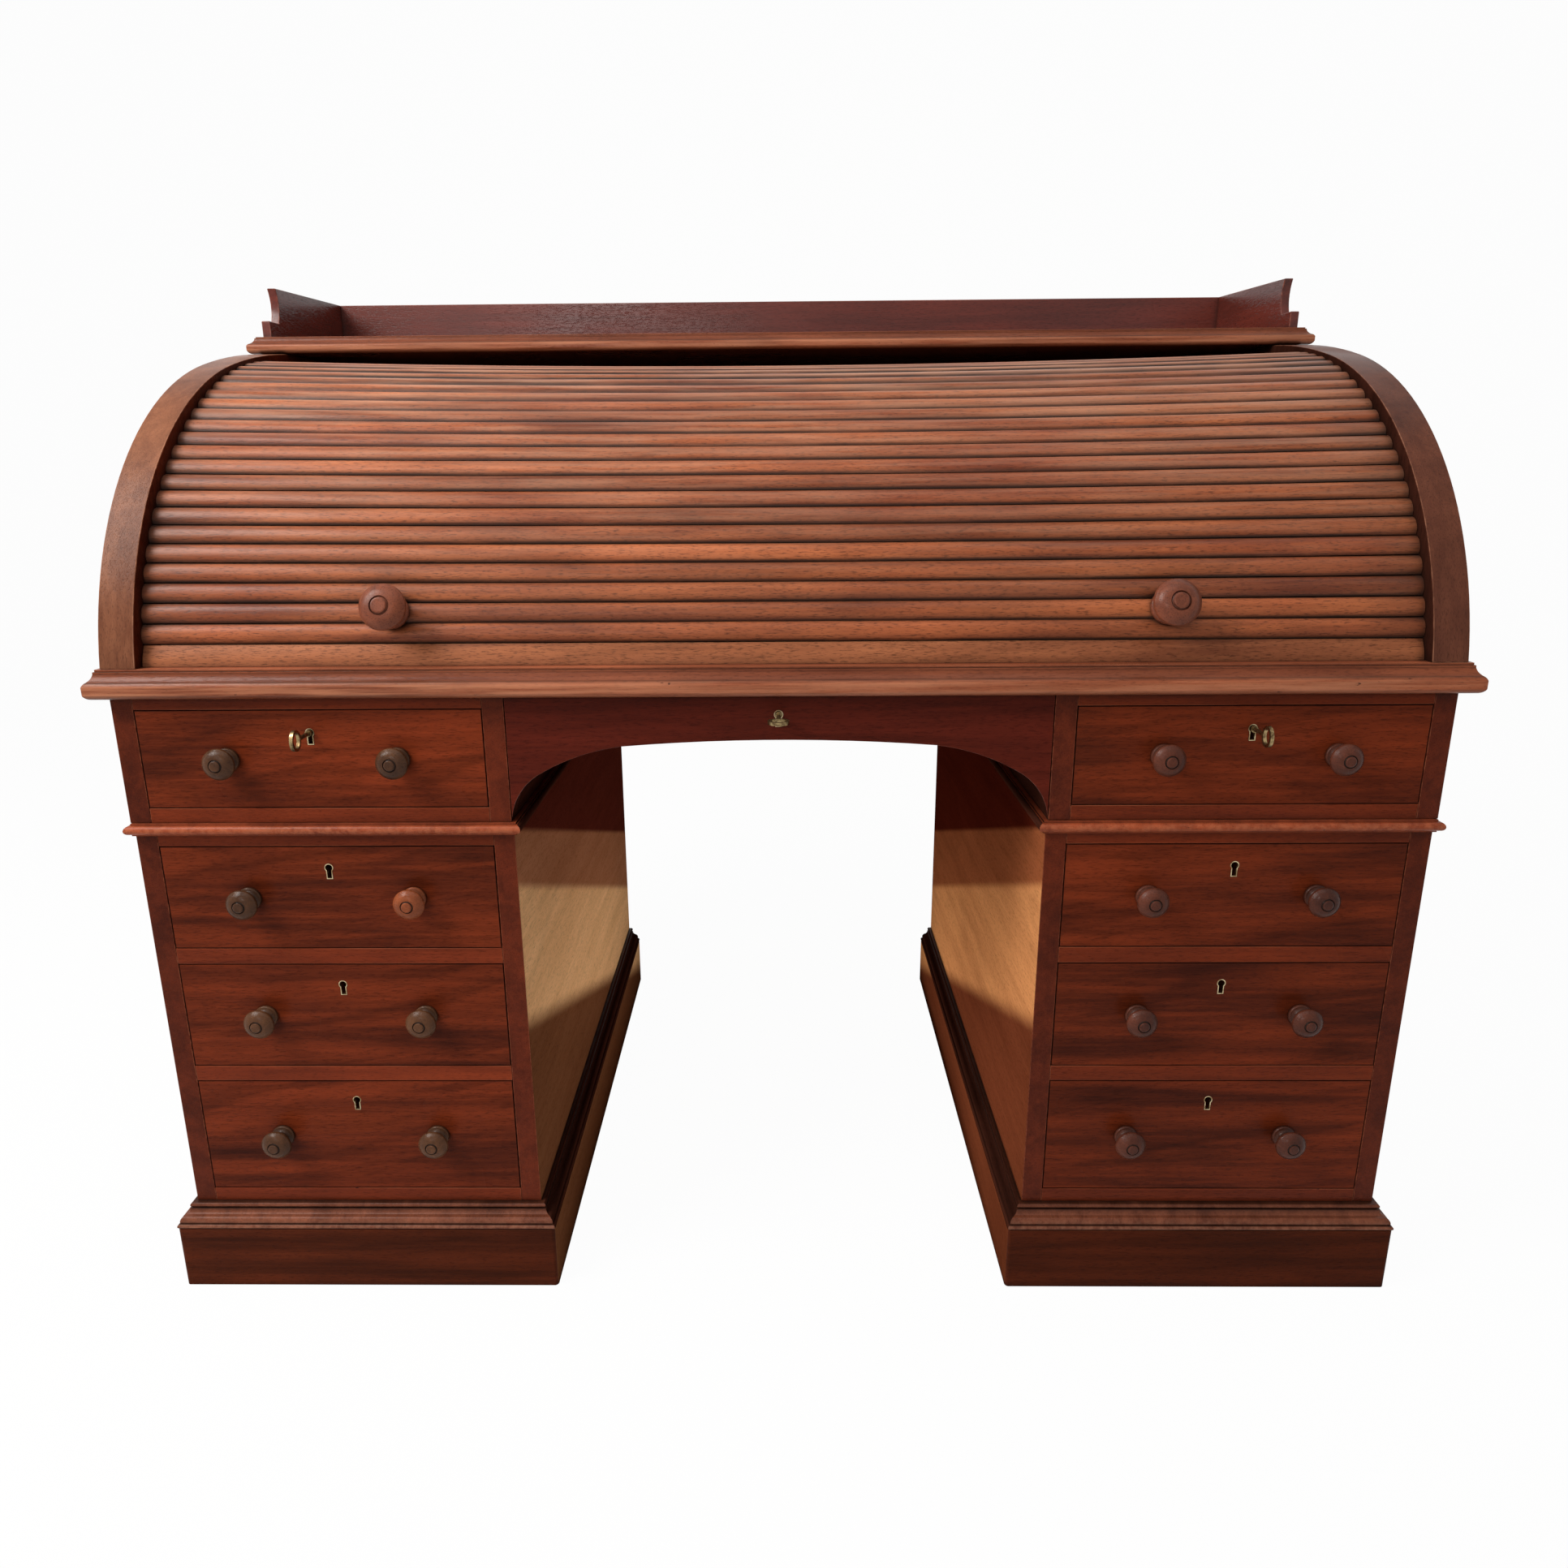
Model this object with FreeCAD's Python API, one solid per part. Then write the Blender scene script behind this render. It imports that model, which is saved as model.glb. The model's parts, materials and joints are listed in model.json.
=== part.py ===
import FreeCAD, Part
import math
import os

# A mahogany pedestal desk whose curved front is a roll of slats (a tambour). Millimetres, +Z up,
# the front faces -Y. The origin is on the floor, under the middle of the whole desk with its keys.

V = FreeCAD.Vector

# Overall plan: the body runs from the drawer fronts to the back boards
body_depth = 793.0
kneehole_half = 294.8
pedestal_width = 426.2
side_board = 24.0
back_board = 12.0

# Plinths
plinth_height = 81.0
plinth_board = 22.0
plinth_projection = 19.0
plinth_moulding_height = 27.0
plinth_moulding_shares = [
    [(0.92, 0.0)],
    [(1.0, 0.10), (0.92, 0.20)],
    [(0.84, 0.22)],
    [(0.80, 0.42), (0.60, 0.52)],
    [(0.42, 0.60), (0.36, 0.76)],
    [(0.20, 0.78)],
    [(0.34, 0.89), (0.20, 1.0)],
    [(0.0, 1.0)],
]

# Drawer rails and openings, from the bottom of a pedestal upwards
bottom_rail = 18.0
drawer_heights = {"bottom": 149.0, "middle": 132.8, "top": 125.0}
rail_height = 19.6
top_rail = 13.3
rail_depth = 70.0
runner_width = 22.0
carcass_bottom = 12.0

# Bead under the table part
bead_height = 14.3
bead_projection = 8.5
bead_shares = [
    [(0.30, 0.0)],
    [(0.30, 0.14)],
    [(1.0, 0.50), (0.30, 0.86)],
    [(0.30, 1.0)],
    [(0.0, 1.0)],
]

# Table part with the frieze drawers
table_overhang = 3.6
pier_setback = 2.3
frieze_bottom_rail = 17.4
frieze_drawer_height = 112.0
frieze_top_rail = 13.9
frieze_bottom = 10.0

# Arched apron over the kneehole
apron_thickness = 22.0
apron_gap = 0.8
arch_springing = 5.0
arch_rise = 87.9
# The arch's ends, in from the piers and up from the springing
arch_haunch = [(9.0, 26.0), (31.0, 48.6)]
arch_shoulder = [(75.0, 69.5), (125.0, 81.2)]

# Desk top and its leather
desk_top_thickness = 32.0
top_projection = 17.5
nose_shares = [
    [(0.50, 0.0)],
    [(0.92, 0.10), (1.0, 0.34)],
    [(0.96, 0.50), (0.84, 0.58)],
    [(0.62, 0.68), (0.47, 0.86)],
    [(0.47, 0.92)],
    [(0.38, 0.92)],
    [(0.38, 1.0)],
    [(0.0, 1.0)],
]
leather_thickness = 1.2
leather_side_margin = 48.0
leather_setback = 45.0
leather_depth = 345.0

# Roll: the slats turn about one axis, a little below the desk top. The cheeks follow the roll up
# to their shoulders and rise from there in a flatter curve to the upper top board
roll_drop = 62.0
cheek_radius = 410.5
cheek_projection = 10.0
cheek_crest = 14.5
cheek_shoulder_angle = 75.0
cheek_thickness = 38.5
cheek_overhang = 1.9
slat_recess = 12.5
slat_crown = 4.5
slat_thickness = 12.0
slat_width = 22.9
slat_count = 26
slat_gap = 0.4
slat_end_clearance = 1.0
tongue_inset = 0.5
tongue_thickness = 6.0
groove_depth = 8.0
groove_clearance = 0.6
canvas_thickness = 1.5
canvas_margin = 15.0
# The canvas runs on behind the last slat, in degrees of the roll
canvas_tail = 6.0
rest_clearance = 0.3
roll_knob_place = 415.0
roll_knob_piece = 2.5

# Upper top board and gallery
top_board_thickness = 23.0
top_board_setback = 468.5
top_board_projection = 16.5
gallery_board = 12.0
gallery_height = 78.5
gallery_inset = 0.8
gallery_setback = 470.0
gallery_depth = 275.0
gallery_tip_height = 69.0
gallery_toe_height = 22.0
gallery_toe_depth = 29.0
gallery_cove = 6.0

# Back panel of the roll, and the pigeonholes, set behind the roll's axis and clear of its canvas
back_panel_thickness = 14.0
back_panel_inset = 2.0
nest_setback = 29.5
nest_depth = 185.0
nest_clearance = 26.2
nest_side_gap = 12.0
nest_board = 8.0
nest_columns = 6
nest_rows = 2

# Drawers
drawer_gap = 1.0
front_thickness = 20.0
box_depth = 700.0
box_board = 12.0
box_bottom = 8.0
box_bottom_rise = 8.0
box_top_drop = 8.0

# Turned knobs
knob_radius = 17.7
knob_reach = 30.0
knob_spread = 94.0
knob_spigot_radius = 6.0
knob_spigot_length = 14.0
roll_knob_radius = 25.0
roll_knob_reach = 42.0
roll_spigot_radius = 4.0
roll_spigot_length = 8.0
spigot_clearance = 0.1
knob_shares = [
    [(0.74, 0.0)],
    [(0.76, 0.06), (0.70, 0.12)],
    [(0.51, 0.19), (0.48, 0.36)],
    [(0.60, 0.54), (0.92, 0.58)],
    [(1.0, 0.66), (0.93, 0.76)],
    [(0.72, 0.88), (0.42, 0.94)],
    [(0.38, 0.91)],
    [(0.33, 0.93)],
    [(0.33, 0.97)],
    [(0.25, 1.0)],
    [(0.0, 1.0)],
]

# Locks, escutcheons and keys
keyhole_drop = 26.0
keyhole_radius = 4.0
keyhole_slot_half = 2.5
keyhole_length = 12.5
escutcheon_wall = 1.0
escutcheon_depth = 3.0
escutcheon_proud = 0.3
lock_width = 56.0
lock_height = 40.0
lock_depth = 12.0
lock_rise = 12.0
lock_bore_radius = 9.0
lock_plate = 3.0
key_radius = 2.2
key_fit = 0.06
key_shaft_reach = 27.0
key_reach = 46.0
key_bow_half = 11.5
key_bow_wall = 3.2
key_bow_thickness = 3.6
key_collar_radius = 3.6
key_collar_length = 3.0
key_collar_stand = 2.0
key_bit_thickness = 2.4
key_bit_height = 7.5
key_bit_length = 5.0
key_bit_stand = 1.0
apron_keyhole_drop = 22.0
apron_lock_front = 9.0
apron_lock_depth = 14.0
apron_lock_height = 46.0
bolt_width = 10.0
bolt_thickness = 5.0
bolt_stand = 2.0
bolt_tail = 10.0
bolt_clearance = 0.3
bolt_throw = 8.0
mortise_clearance = 1.0

# One overrun serves every cut, and a quarter turn is in degrees
overrun = 5.0
quarter_turn = 90.0

# Places worked out from the sizes above
front = (key_reach - body_depth) / 2
back = front + body_depth
pedestal_outer = kneehole_half + pedestal_width
table_half = pedestal_outer + table_overhang
pier_half = kneehole_half + pier_setback
pedestal_base = plinth_height + plinth_moulding_height
pedestal_opening = (kneehole_half + side_board, pedestal_outer - side_board)
frieze_opening = (pier_half + side_board, table_half - side_board)

drawer_floors = {}
rail_spans = []
level = pedestal_base
rail = bottom_rail
for drawer_name, drawer_height in drawer_heights.items():
    rail_spans.append((level, level + rail))
    drawer_floors[drawer_name] = level + rail
    level = level + rail + drawer_height
    rail = rail_height
pedestal_top = level + top_rail
rail_spans.append((level, pedestal_top))

table_base = pedestal_top + bead_height
frieze_floor = table_base + frieze_bottom_rail
frieze_ceiling = frieze_floor + frieze_drawer_height
table_top = frieze_ceiling + frieze_top_rail
desk_surface = table_top + desk_top_thickness

roll_y = front + cheek_radius - cheek_projection
roll_z = desk_surface - roll_drop
cheek_outer = table_half + cheek_overhang
cheek_inner = cheek_outer - cheek_thickness
cheek_top = roll_z + cheek_radius + cheek_crest
leather_half = cheek_inner - leather_side_margin
gallery_base = cheek_top + top_board_thickness
slat_radius = cheek_radius - slat_recess
slat_edge_radius = slat_radius - slat_crown
slat_inner_radius = slat_radius - slat_thickness
slat_pitch = math.degrees(slat_width / slat_radius)
foot_angle = math.degrees(math.asin((roll_drop + rest_clearance) / slat_edge_radius))

nest_half = cheek_inner - nest_side_gap
nest_y = (roll_y + nest_setback, roll_y + nest_setback + nest_depth)
nest_reach = slat_inner_radius - canvas_thickness - nest_clearance
nest_height = roll_z + math.sqrt(nest_reach**2 - (nest_y[1] - roll_y) ** 2) - desk_surface


def block(x, y, z):
    return Part.makeBox(x[1] - x[0], y[1] - y[0], z[1] - z[0], V(x[0], y[0], z[0]))


def mirrored(solid):
    return solid.mirror(V(0, 0, 0), V(1, 0, 0))


def both_sides(solids):
    return solids + [mirrored(solid) for solid in solids]


def outline_face(start, steps, place):
    """A closed face: a step of one point is a line, a step of two is an arc through the first."""
    edges = []
    here = place(*start)
    for step in steps:
        end = place(*step[-1])
        if len(step) == 1:
            edges.append(Part.LineSegment(here, end).toShape())
        else:
            edges.append(Part.Arc(here, place(*step[0]), end).toShape())
        here = end
    edges.append(Part.LineSegment(here, place(*start)).toShape())
    return Part.Face(Part.Wire(edges))


def moulded_slab(x, y, z, projection, shares):
    """A board with one moulding along its front and both its ends, mitred at the corners."""
    height = z[1] - z[0]

    def moulding(base, outward):
        reach = outward * projection
        return [[(base + reach * u, z[0] + height * v) for u, v in step] for step in shares]

    far_x = x[0] - projection
    front_steps = [[(y[0], z[0])]] + moulding(y[0], -1) + [[(y[1], z[1])]]
    front_face = outline_face((y[1], z[0]), front_steps, lambda u, v: V(far_x, u, v))
    across = front_face.extrude(V(x[1] + projection - far_x, 0, 0))
    end_steps = [[(x[1], z[0])]] + moulding(x[1], 1) + [[(far_x, z[1])]]
    end_face = outline_face((far_x, z[0]), end_steps, lambda u, v: V(u, y[0] - projection, v))
    right = end_face.extrude(V(0, y[1] - y[0] + projection, 0))
    left = right.mirror(V((x[0] + x[1]) / 2, 0, 0), V(1, 0, 0))
    return across.common(right).common(left)


def on_roll(angle, radius):
    """Depth and height of a point of the roll, its angle counted upwards from the front."""
    turn = math.radians(angle)
    return (roll_y - radius * math.cos(turn), roll_z + radius * math.sin(turn))


def roll_sector(radii, angles, half_length):
    """A curved strip about the roll's axis, between two radii and two angles."""
    middle = (angles[0] + angles[1]) / 2
    steps = [
        [on_roll(middle, radii[1]), on_roll(angles[1], radii[1])],
        [on_roll(angles[1], radii[0])],
        [on_roll(middle, radii[0]), on_roll(angles[0], radii[0])],
    ]
    face = outline_face(on_roll(angles[0], radii[1]), steps, lambda u, v: V(-half_length, u, v))
    return face.extrude(V(2 * half_length, 0, 0))


def turned(radius, reach, shares, spigot_radius, spigot_length):
    """A turned knob with its spigot, on the Y axis with its base at the origin, facing -Y."""
    steps = [[(radius * u, -reach * v) for u, v in step] for step in shares]
    face = outline_face((0, 0), steps, lambda u, v: V(u, v, 0))
    head = face.revolve(V(0, 0, 0), V(0, 1, 0), 360)
    spigot = Part.makeCylinder(spigot_radius, spigot_length, V(0, 0, 0), V(0, 1, 0))
    return head.fuse(spigot).removeSplitter()


def keyhole(x, y, pivot_z, grow):
    """The keyhole's form, a round over a slot, between two depths and grown by a wall."""
    deep = y[1] - y[0]
    eye = Part.makeCylinder(keyhole_radius + grow, deep, V(x, y[0], pivot_z), V(0, 1, 0))
    half = keyhole_slot_half + grow
    slot = block((x - half, x + half), y, (pivot_z - keyhole_length - grow, pivot_z))
    return eye.fuse(slot).removeSplitter()


def escutcheon(x, face_y, pivot_z):
    span = (face_y - escutcheon_proud, face_y + escutcheon_depth)
    hole = (span[0] - overrun, span[1] + overrun)
    return keyhole(x, span, pivot_z, escutcheon_wall).cut(keyhole(x, hole, pivot_z, 0))


def pierced(board, x, face_y, pivot_z, thickness):
    """A board with the keyhole cut through it and the seat of its escutcheon."""
    seat = (face_y - overrun, face_y + escutcheon_depth)
    through = (face_y - overrun, face_y + thickness + overrun)
    return board.cut(keyhole(x, seat, pivot_z, escutcheon_wall)).cut(keyhole(x, through, pivot_z, 0))


def lock_case(x, y, z, pivot_z):
    """A lock's case: the key's bit turns in its bore, and the key's tip in its back plate."""
    bore_depth = y[1] - y[0] - lock_plate
    case = block((x - lock_width / 2, x + lock_width / 2), y, z)
    bore = Part.makeCylinder(lock_bore_radius, bore_depth, V(x, y[0], pivot_z), V(0, 1, 0))
    tip_hole = Part.makeCylinder(key_radius + key_fit, y[1] - y[0], V(x, y[0], pivot_z), V(0, 1, 0))
    return case.cut(bore).cut(tip_hole)


def key(x, face_y, case_y, pivot_z, turn):
    """A key in its lock: shaft, collar, bit and an oval bow. With no turn the bow stands upright."""
    shaft_start = face_y - key_shaft_reach
    shaft = Part.makeCylinder(key_radius, case_y[1] - shaft_start, V(x, shaft_start, pivot_z), V(0, 1, 0))
    collar_y = face_y - key_collar_stand - key_collar_length
    collar = Part.makeCylinder(key_collar_radius, key_collar_length, V(x, collar_y, pivot_z), V(0, 1, 0))
    bit_y = case_y[0] + key_bit_stand
    bit_half = key_bit_thickness / 2
    bit_z = (pivot_z - key_bit_height, pivot_z)
    bit = block((x - bit_half, x + bit_half), (bit_y, bit_y + key_bit_length), bit_z)
    bow_half_depth = (key_reach - key_shaft_reach + key_bow_wall / 2) / 2
    bow_centre = V(x - key_bow_thickness / 2, face_y - key_reach + bow_half_depth, pivot_z)
    bow = oval(bow_centre, key_bow_half, bow_half_depth)
    bow = bow.cut(oval(bow_centre, key_bow_half - key_bow_wall, bow_half_depth - key_bow_wall))
    whole = shaft.fuse([collar, bit, bow]).removeSplitter()
    whole.rotate(V(x, 0, pivot_z), V(0, 1, 0), turn)
    return whole


def oval(centre, half_height, half_depth):
    """An upright oval plate, as thick as a key's bow, made from a round one."""
    stretch = FreeCAD.Matrix()
    stretch.scale(1, half_depth, half_height)
    plate = Part.makeCylinder(1, key_bow_thickness, V(0, 0, 0), V(1, 0, 0)).transformGeometry(stretch)
    plate.translate(centre)
    return plate


def save(node, solids):
    Part.makeCompound(solids).exportStep("parts/" + node + ".step")


def build_plinths():
    x = (kneehole_half - plinth_projection, pedestal_outer + plinth_projection)
    z = (0, plinth_height)
    front_y = (front - plinth_projection, front - plinth_projection + plinth_board)
    back_y = (back - plinth_board, back)
    side_y = (front_y[1], back_y[0])
    boards = [
        block(x, front_y, z),
        block(x, back_y, z),
        block((x[0], x[0] + plinth_board), side_y, z),
        block((x[1] - plinth_board, x[1]), side_y, z),
    ]
    save("plinth_boards", both_sides(boards))
    moulding = moulded_slab((kneehole_half, pedestal_outer), (front, back), (plinth_height, pedestal_base),
                            plinth_projection, plinth_moulding_shares)
    save("plinth_mouldings", both_sides([moulding]))


def build_pedestals():
    z = (pedestal_base, pedestal_top)
    inner = block((kneehole_half, pedestal_opening[0]), (front, back), z)
    outer = block((pedestal_opening[1], pedestal_outer), (front, back), z)
    save("pedestal_sides", both_sides([inner, outer]))
    bead = moulded_slab((kneehole_half, pedestal_outer), (front, back), (pedestal_top, table_base),
                        bead_projection, bead_shares)
    save("pedestal_tops", both_sides([bead]))


def build_table_sides():
    z = (table_base, table_top)
    y = (front, back - back_board)
    pier = block((pier_half, frieze_opening[0]), y, z)
    end = block((frieze_opening[1], table_half), y, z)
    save("table_sides", both_sides([pier, end]))


def build_carcass_inside():
    rail_y = (front, front + rail_depth)
    inside_y = (rail_y[1], back - back_board)
    frieze_rails = [(table_base, frieze_floor), (frieze_ceiling, table_top)]
    rails = [block(pedestal_opening, rail_y, span) for span in rail_spans]
    rails += [block(frieze_opening, rail_y, span) for span in frieze_rails]
    save("drawer_rails", both_sides(rails))

    pedestal_bottom = block(pedestal_opening, inside_y, (pedestal_base, pedestal_base + carcass_bottom))
    table_bottom = block(frieze_opening, inside_y, (table_base, table_base + frieze_bottom))
    save("carcass_bottoms", both_sides([pedestal_bottom, table_bottom]))

    pedestal_back = block(pedestal_opening, (inside_y[1], back), (pedestal_base, pedestal_top))
    table_back = block((-table_half, table_half), (inside_y[1], back), (table_base, table_top))
    save("carcass_backs", both_sides([pedestal_back]) + [table_back])

    runner_spans = [(pedestal_opening, span) for span in rail_spans[1:-1]]
    runner_spans.append((pedestal_opening, (pedestal_base + carcass_bottom, drawer_floors["bottom"])))
    runner_spans.append((frieze_opening, (table_base + frieze_bottom, frieze_floor)))
    runners = []
    for opening, span in runner_spans:
        runners.append(block((opening[0], opening[0] + runner_width), inside_y, span))
        runners.append(block((opening[1] - runner_width, opening[1]), inside_y, span))
    save("drawer_runners", both_sides(runners))


def build_apron():
    half = pier_half - apron_gap
    spring = table_base + arch_springing
    right = [[(half - u, spring + v) for u, v in bend] for bend in (arch_haunch, arch_shoulder)]
    left = [[(-u, v) for u, v in bend] for bend in right]
    steps = [
        [(half, table_top)],
        [(half, spring)],
        right[0],
        right[1],
        [(0, spring + arch_rise), left[1][1]],
        [left[1][0], left[0][1]],
        [left[0][0], (-half, spring)],
    ]
    face = outline_face((-half, table_top), steps, lambda u, v: V(u, front, v))
    board = pierced(face.extrude(V(0, apron_thickness, 0)), 0, front, apron_pivot, apron_thickness)
    pocket_half = lock_width / 2 + bolt_clearance
    pocket_z = (apron_case_z[0] - bolt_clearance, table_top + overrun)
    pocket_y = (apron_case_y[0], front + apron_thickness + overrun)
    pocket = block((-pocket_half, pocket_half), pocket_y, pocket_z)
    save("kneehole_apron", [board.cut(pocket)])


def bolt_block(grow, z):
    """The apron lock's bolt, or with some growth the slot that it slides in."""
    half = bolt_width / 2 + grow
    return block((-half, half), (bolt_y[0] - grow, bolt_y[1] + grow), z)


def build_apron_lock():
    case = lock_case(0, apron_case_y, apron_case_z, apron_pivot)
    slot = bolt_block(bolt_clearance, (bolt_z[0] - bolt_clearance, table_top))
    save("apron_lock", [case.cut(slot), escutcheon(0, front, apron_pivot)])
    save("apron_lock_bolt", [bolt_block(0, bolt_z)])
    save("apron_key", [key(0, front, apron_case_y, apron_pivot, quarter_turn)])


def build_desk_top():
    board = moulded_slab((-table_half, table_half), (front, back), (table_top, desk_surface),
                         top_projection, nose_shares)
    leather_y = (front + leather_setback, front + leather_setback + leather_depth)
    leather_z = (desk_surface - leather_thickness, desk_surface)
    leather = block((-leather_half, leather_half), leather_y, leather_z)
    slot = bolt_block(bolt_clearance, (table_top - overrun, desk_surface + overrun))
    save("desk_top", [board.cut(leather).cut(slot)])
    save("writing_leather", [leather])


def bend_middle(start, slope, end):
    """The middle of the arc that leaves one point at a slope, in degrees, and ends at another."""
    run = end[0] - start[0]
    rise = end[1] - start[1]
    swell = math.tan((math.radians(slope) - math.atan2(rise, run)) / 2)
    return ((start[0] + end[0] - rise * swell) / 2, (start[1] + end[1] + run * swell) / 2)


def build_cheeks():
    foot = math.degrees(math.asin(roll_drop / cheek_radius))
    shoulder = on_roll(cheek_shoulder_angle, cheek_radius)
    crest = (front + top_board_setback, cheek_top)
    steps = [
        [on_roll((foot + cheek_shoulder_angle) / 2, cheek_radius), shoulder],
        [bend_middle(shoulder, quarter_turn - cheek_shoulder_angle, crest), crest],
        [(back, cheek_top)],
        [(back, desk_surface)],
    ]
    face = outline_face(on_roll(foot, cheek_radius), steps, lambda u, v: V(cheek_inner, u, v))
    board = face.extrude(V(cheek_thickness, 0, 0))
    tongue_low = slat_inner_radius + tongue_inset
    axis_start = V(cheek_inner - overrun, roll_y, roll_z)
    cut_length = groove_depth + overrun
    groove_radii = (tongue_low - groove_clearance, tongue_low + tongue_thickness + groove_clearance)
    outside = Part.makeCylinder(groove_radii[1], cut_length, axis_start, V(1, 0, 0))
    inside = Part.makeCylinder(groove_radii[0], cut_length, axis_start, V(1, 0, 0))
    right = board.cut(outside.cut(inside))
    save("right_cheek", [right])
    save("left_cheek", [mirrored(right)])


def slat_solid(low_angle, high_angle):
    """One slat: a crowned face, a round back and a tongue at each end."""
    half_gap = math.degrees(slat_gap / 2 / slat_radius)
    angles = (low_angle + half_gap, high_angle - half_gap)
    middle = (angles[0] + angles[1]) / 2
    steps = [
        [on_roll(middle, slat_radius), on_roll(angles[1], slat_edge_radius)],
        [on_roll(angles[1], slat_inner_radius)],
        [on_roll(middle, slat_inner_radius), on_roll(angles[0], slat_inner_radius)],
    ]
    half = cheek_inner - slat_end_clearance
    face = outline_face(on_roll(angles[0], slat_edge_radius), steps, lambda u, v: V(-half, u, v))
    tongue_low = slat_inner_radius + tongue_inset
    tongue_half = cheek_inner + groove_depth - slat_end_clearance
    tongue = roll_sector((tongue_low, tongue_low + tongue_thickness), angles, tongue_half)
    return face.extrude(V(2 * half, 0, 0)).fuse(tongue).removeSplitter()


def build_tambour():
    slats = []
    for number in range(1, slat_count + 1):
        low = foot_angle + number * slat_pitch
        slats.append(slat_solid(low, low + slat_pitch))
    knob_angle = foot_angle + roll_knob_piece * slat_pitch
    knob_slat = int(roll_knob_piece) - 1
    hole_radius = roll_spigot_radius + spigot_clearance
    hole_length = roll_spigot_length + spigot_clearance
    knobs = []
    for x in (-roll_knob_place, roll_knob_place):
        seat = V(x, roll_y - slat_radius, roll_z)
        knob = turned(roll_knob_radius, roll_knob_reach, knob_shares, roll_spigot_radius, roll_spigot_length)
        knob.translate(seat)
        knob.rotate(V(0, roll_y, roll_z), V(-1, 0, 0), knob_angle)
        knobs.append(knob)
        hole = Part.makeCylinder(hole_radius, hole_length + overrun, seat - V(0, overrun, 0), V(0, 1, 0))
        hole.rotate(V(0, roll_y, roll_z), V(-1, 0, 0), knob_angle)
        slats[knob_slat] = slats[knob_slat].cut(hole)
    save("tambour_slats", slats)
    save("tambour_knobs", knobs)

    rail_solid = slat_solid(foot_angle - slat_pitch, foot_angle + slat_pitch)
    floor_z = desk_surface + rest_clearance
    below = block((-cheek_outer, cheek_outer), (front - overrun, back), (roll_z - slat_radius, floor_z))
    mortise = bolt_block(mortise_clearance, (roll_z, desk_surface + bolt_throw + mortise_clearance))
    save("tambour_bottom_rail", [rail_solid.cut(below).cut(mortise)])

    slats_end = foot_angle + (slat_count + 1) * slat_pitch
    canvas_angles = (foot_angle + slat_pitch / 2, slats_end + canvas_tail)
    canvas_radii = (slat_inner_radius - canvas_thickness, slat_inner_radius)
    save("tambour_canvas", [roll_sector(canvas_radii, canvas_angles, cheek_inner - canvas_margin)])


def build_upper_top():
    board = moulded_slab((-cheek_outer, cheek_outer), (front + top_board_setback, back),
                         (cheek_top, gallery_base), top_board_projection, nose_shares)
    save("top_board", [board])

    half = cheek_outer - gallery_inset
    y = (front + gallery_setback, front + gallery_setback + gallery_depth)
    top = gallery_base + gallery_height
    rear = block((-half, half), (y[1] - gallery_board, y[1]), (gallery_base, top))
    toe = (y[0] + gallery_toe_depth, gallery_base + gallery_toe_height)
    tip = (toe[0], gallery_base + gallery_tip_height)
    cove = (toe[0] + gallery_cove, (toe[1] + tip[1]) / 2)
    steps = [
        [(y[0], toe[1])],
        [toe],
        [cove, tip],
        [(y[1] - gallery_board, top)],
        [(y[1] - gallery_board, gallery_base)],
    ]
    face = outline_face((y[0], gallery_base), steps, lambda u, v: V(half - gallery_board, u, v))
    end = face.extrude(V(gallery_board, 0, 0))
    save("gallery", both_sides([end]) + [rear])


def build_roll_inside():
    panel_y = (back - back_panel_inset - back_panel_thickness, back - back_panel_inset)
    panel = block((-cheek_inner, cheek_inner), panel_y, (desk_surface, cheek_top))
    save("back_panel", [panel])

    open_y = (nest_y[0], nest_y[1] - nest_board)
    z = (desk_surface, desk_surface + nest_height)
    open_z = (z[0] + nest_board, z[1] - nest_board)
    boards = [
        block((-nest_half, nest_half), open_y, (z[0], open_z[0])),
        block((-nest_half, nest_half), open_y, (open_z[1], z[1])),
        block((-nest_half, nest_half), (open_y[1], nest_y[1]), z),
    ]
    column_step = (2 * nest_half - nest_board) / nest_columns
    row_step = (open_z[1] - open_z[0] + nest_board) / nest_rows
    for column in range(nest_columns + 1):
        x = -nest_half + column * column_step
        boards.append(block((x, x + nest_board), open_y, open_z))
    for column in range(nest_columns):
        x = -nest_half + column * column_step
        for row in range(1, nest_rows):
            shelf = open_z[0] + row * row_step
            boards.append(block((x + nest_board, x + column_step), open_y, (shelf - nest_board, shelf)))
    save("pigeonhole_nest", boards)


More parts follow.
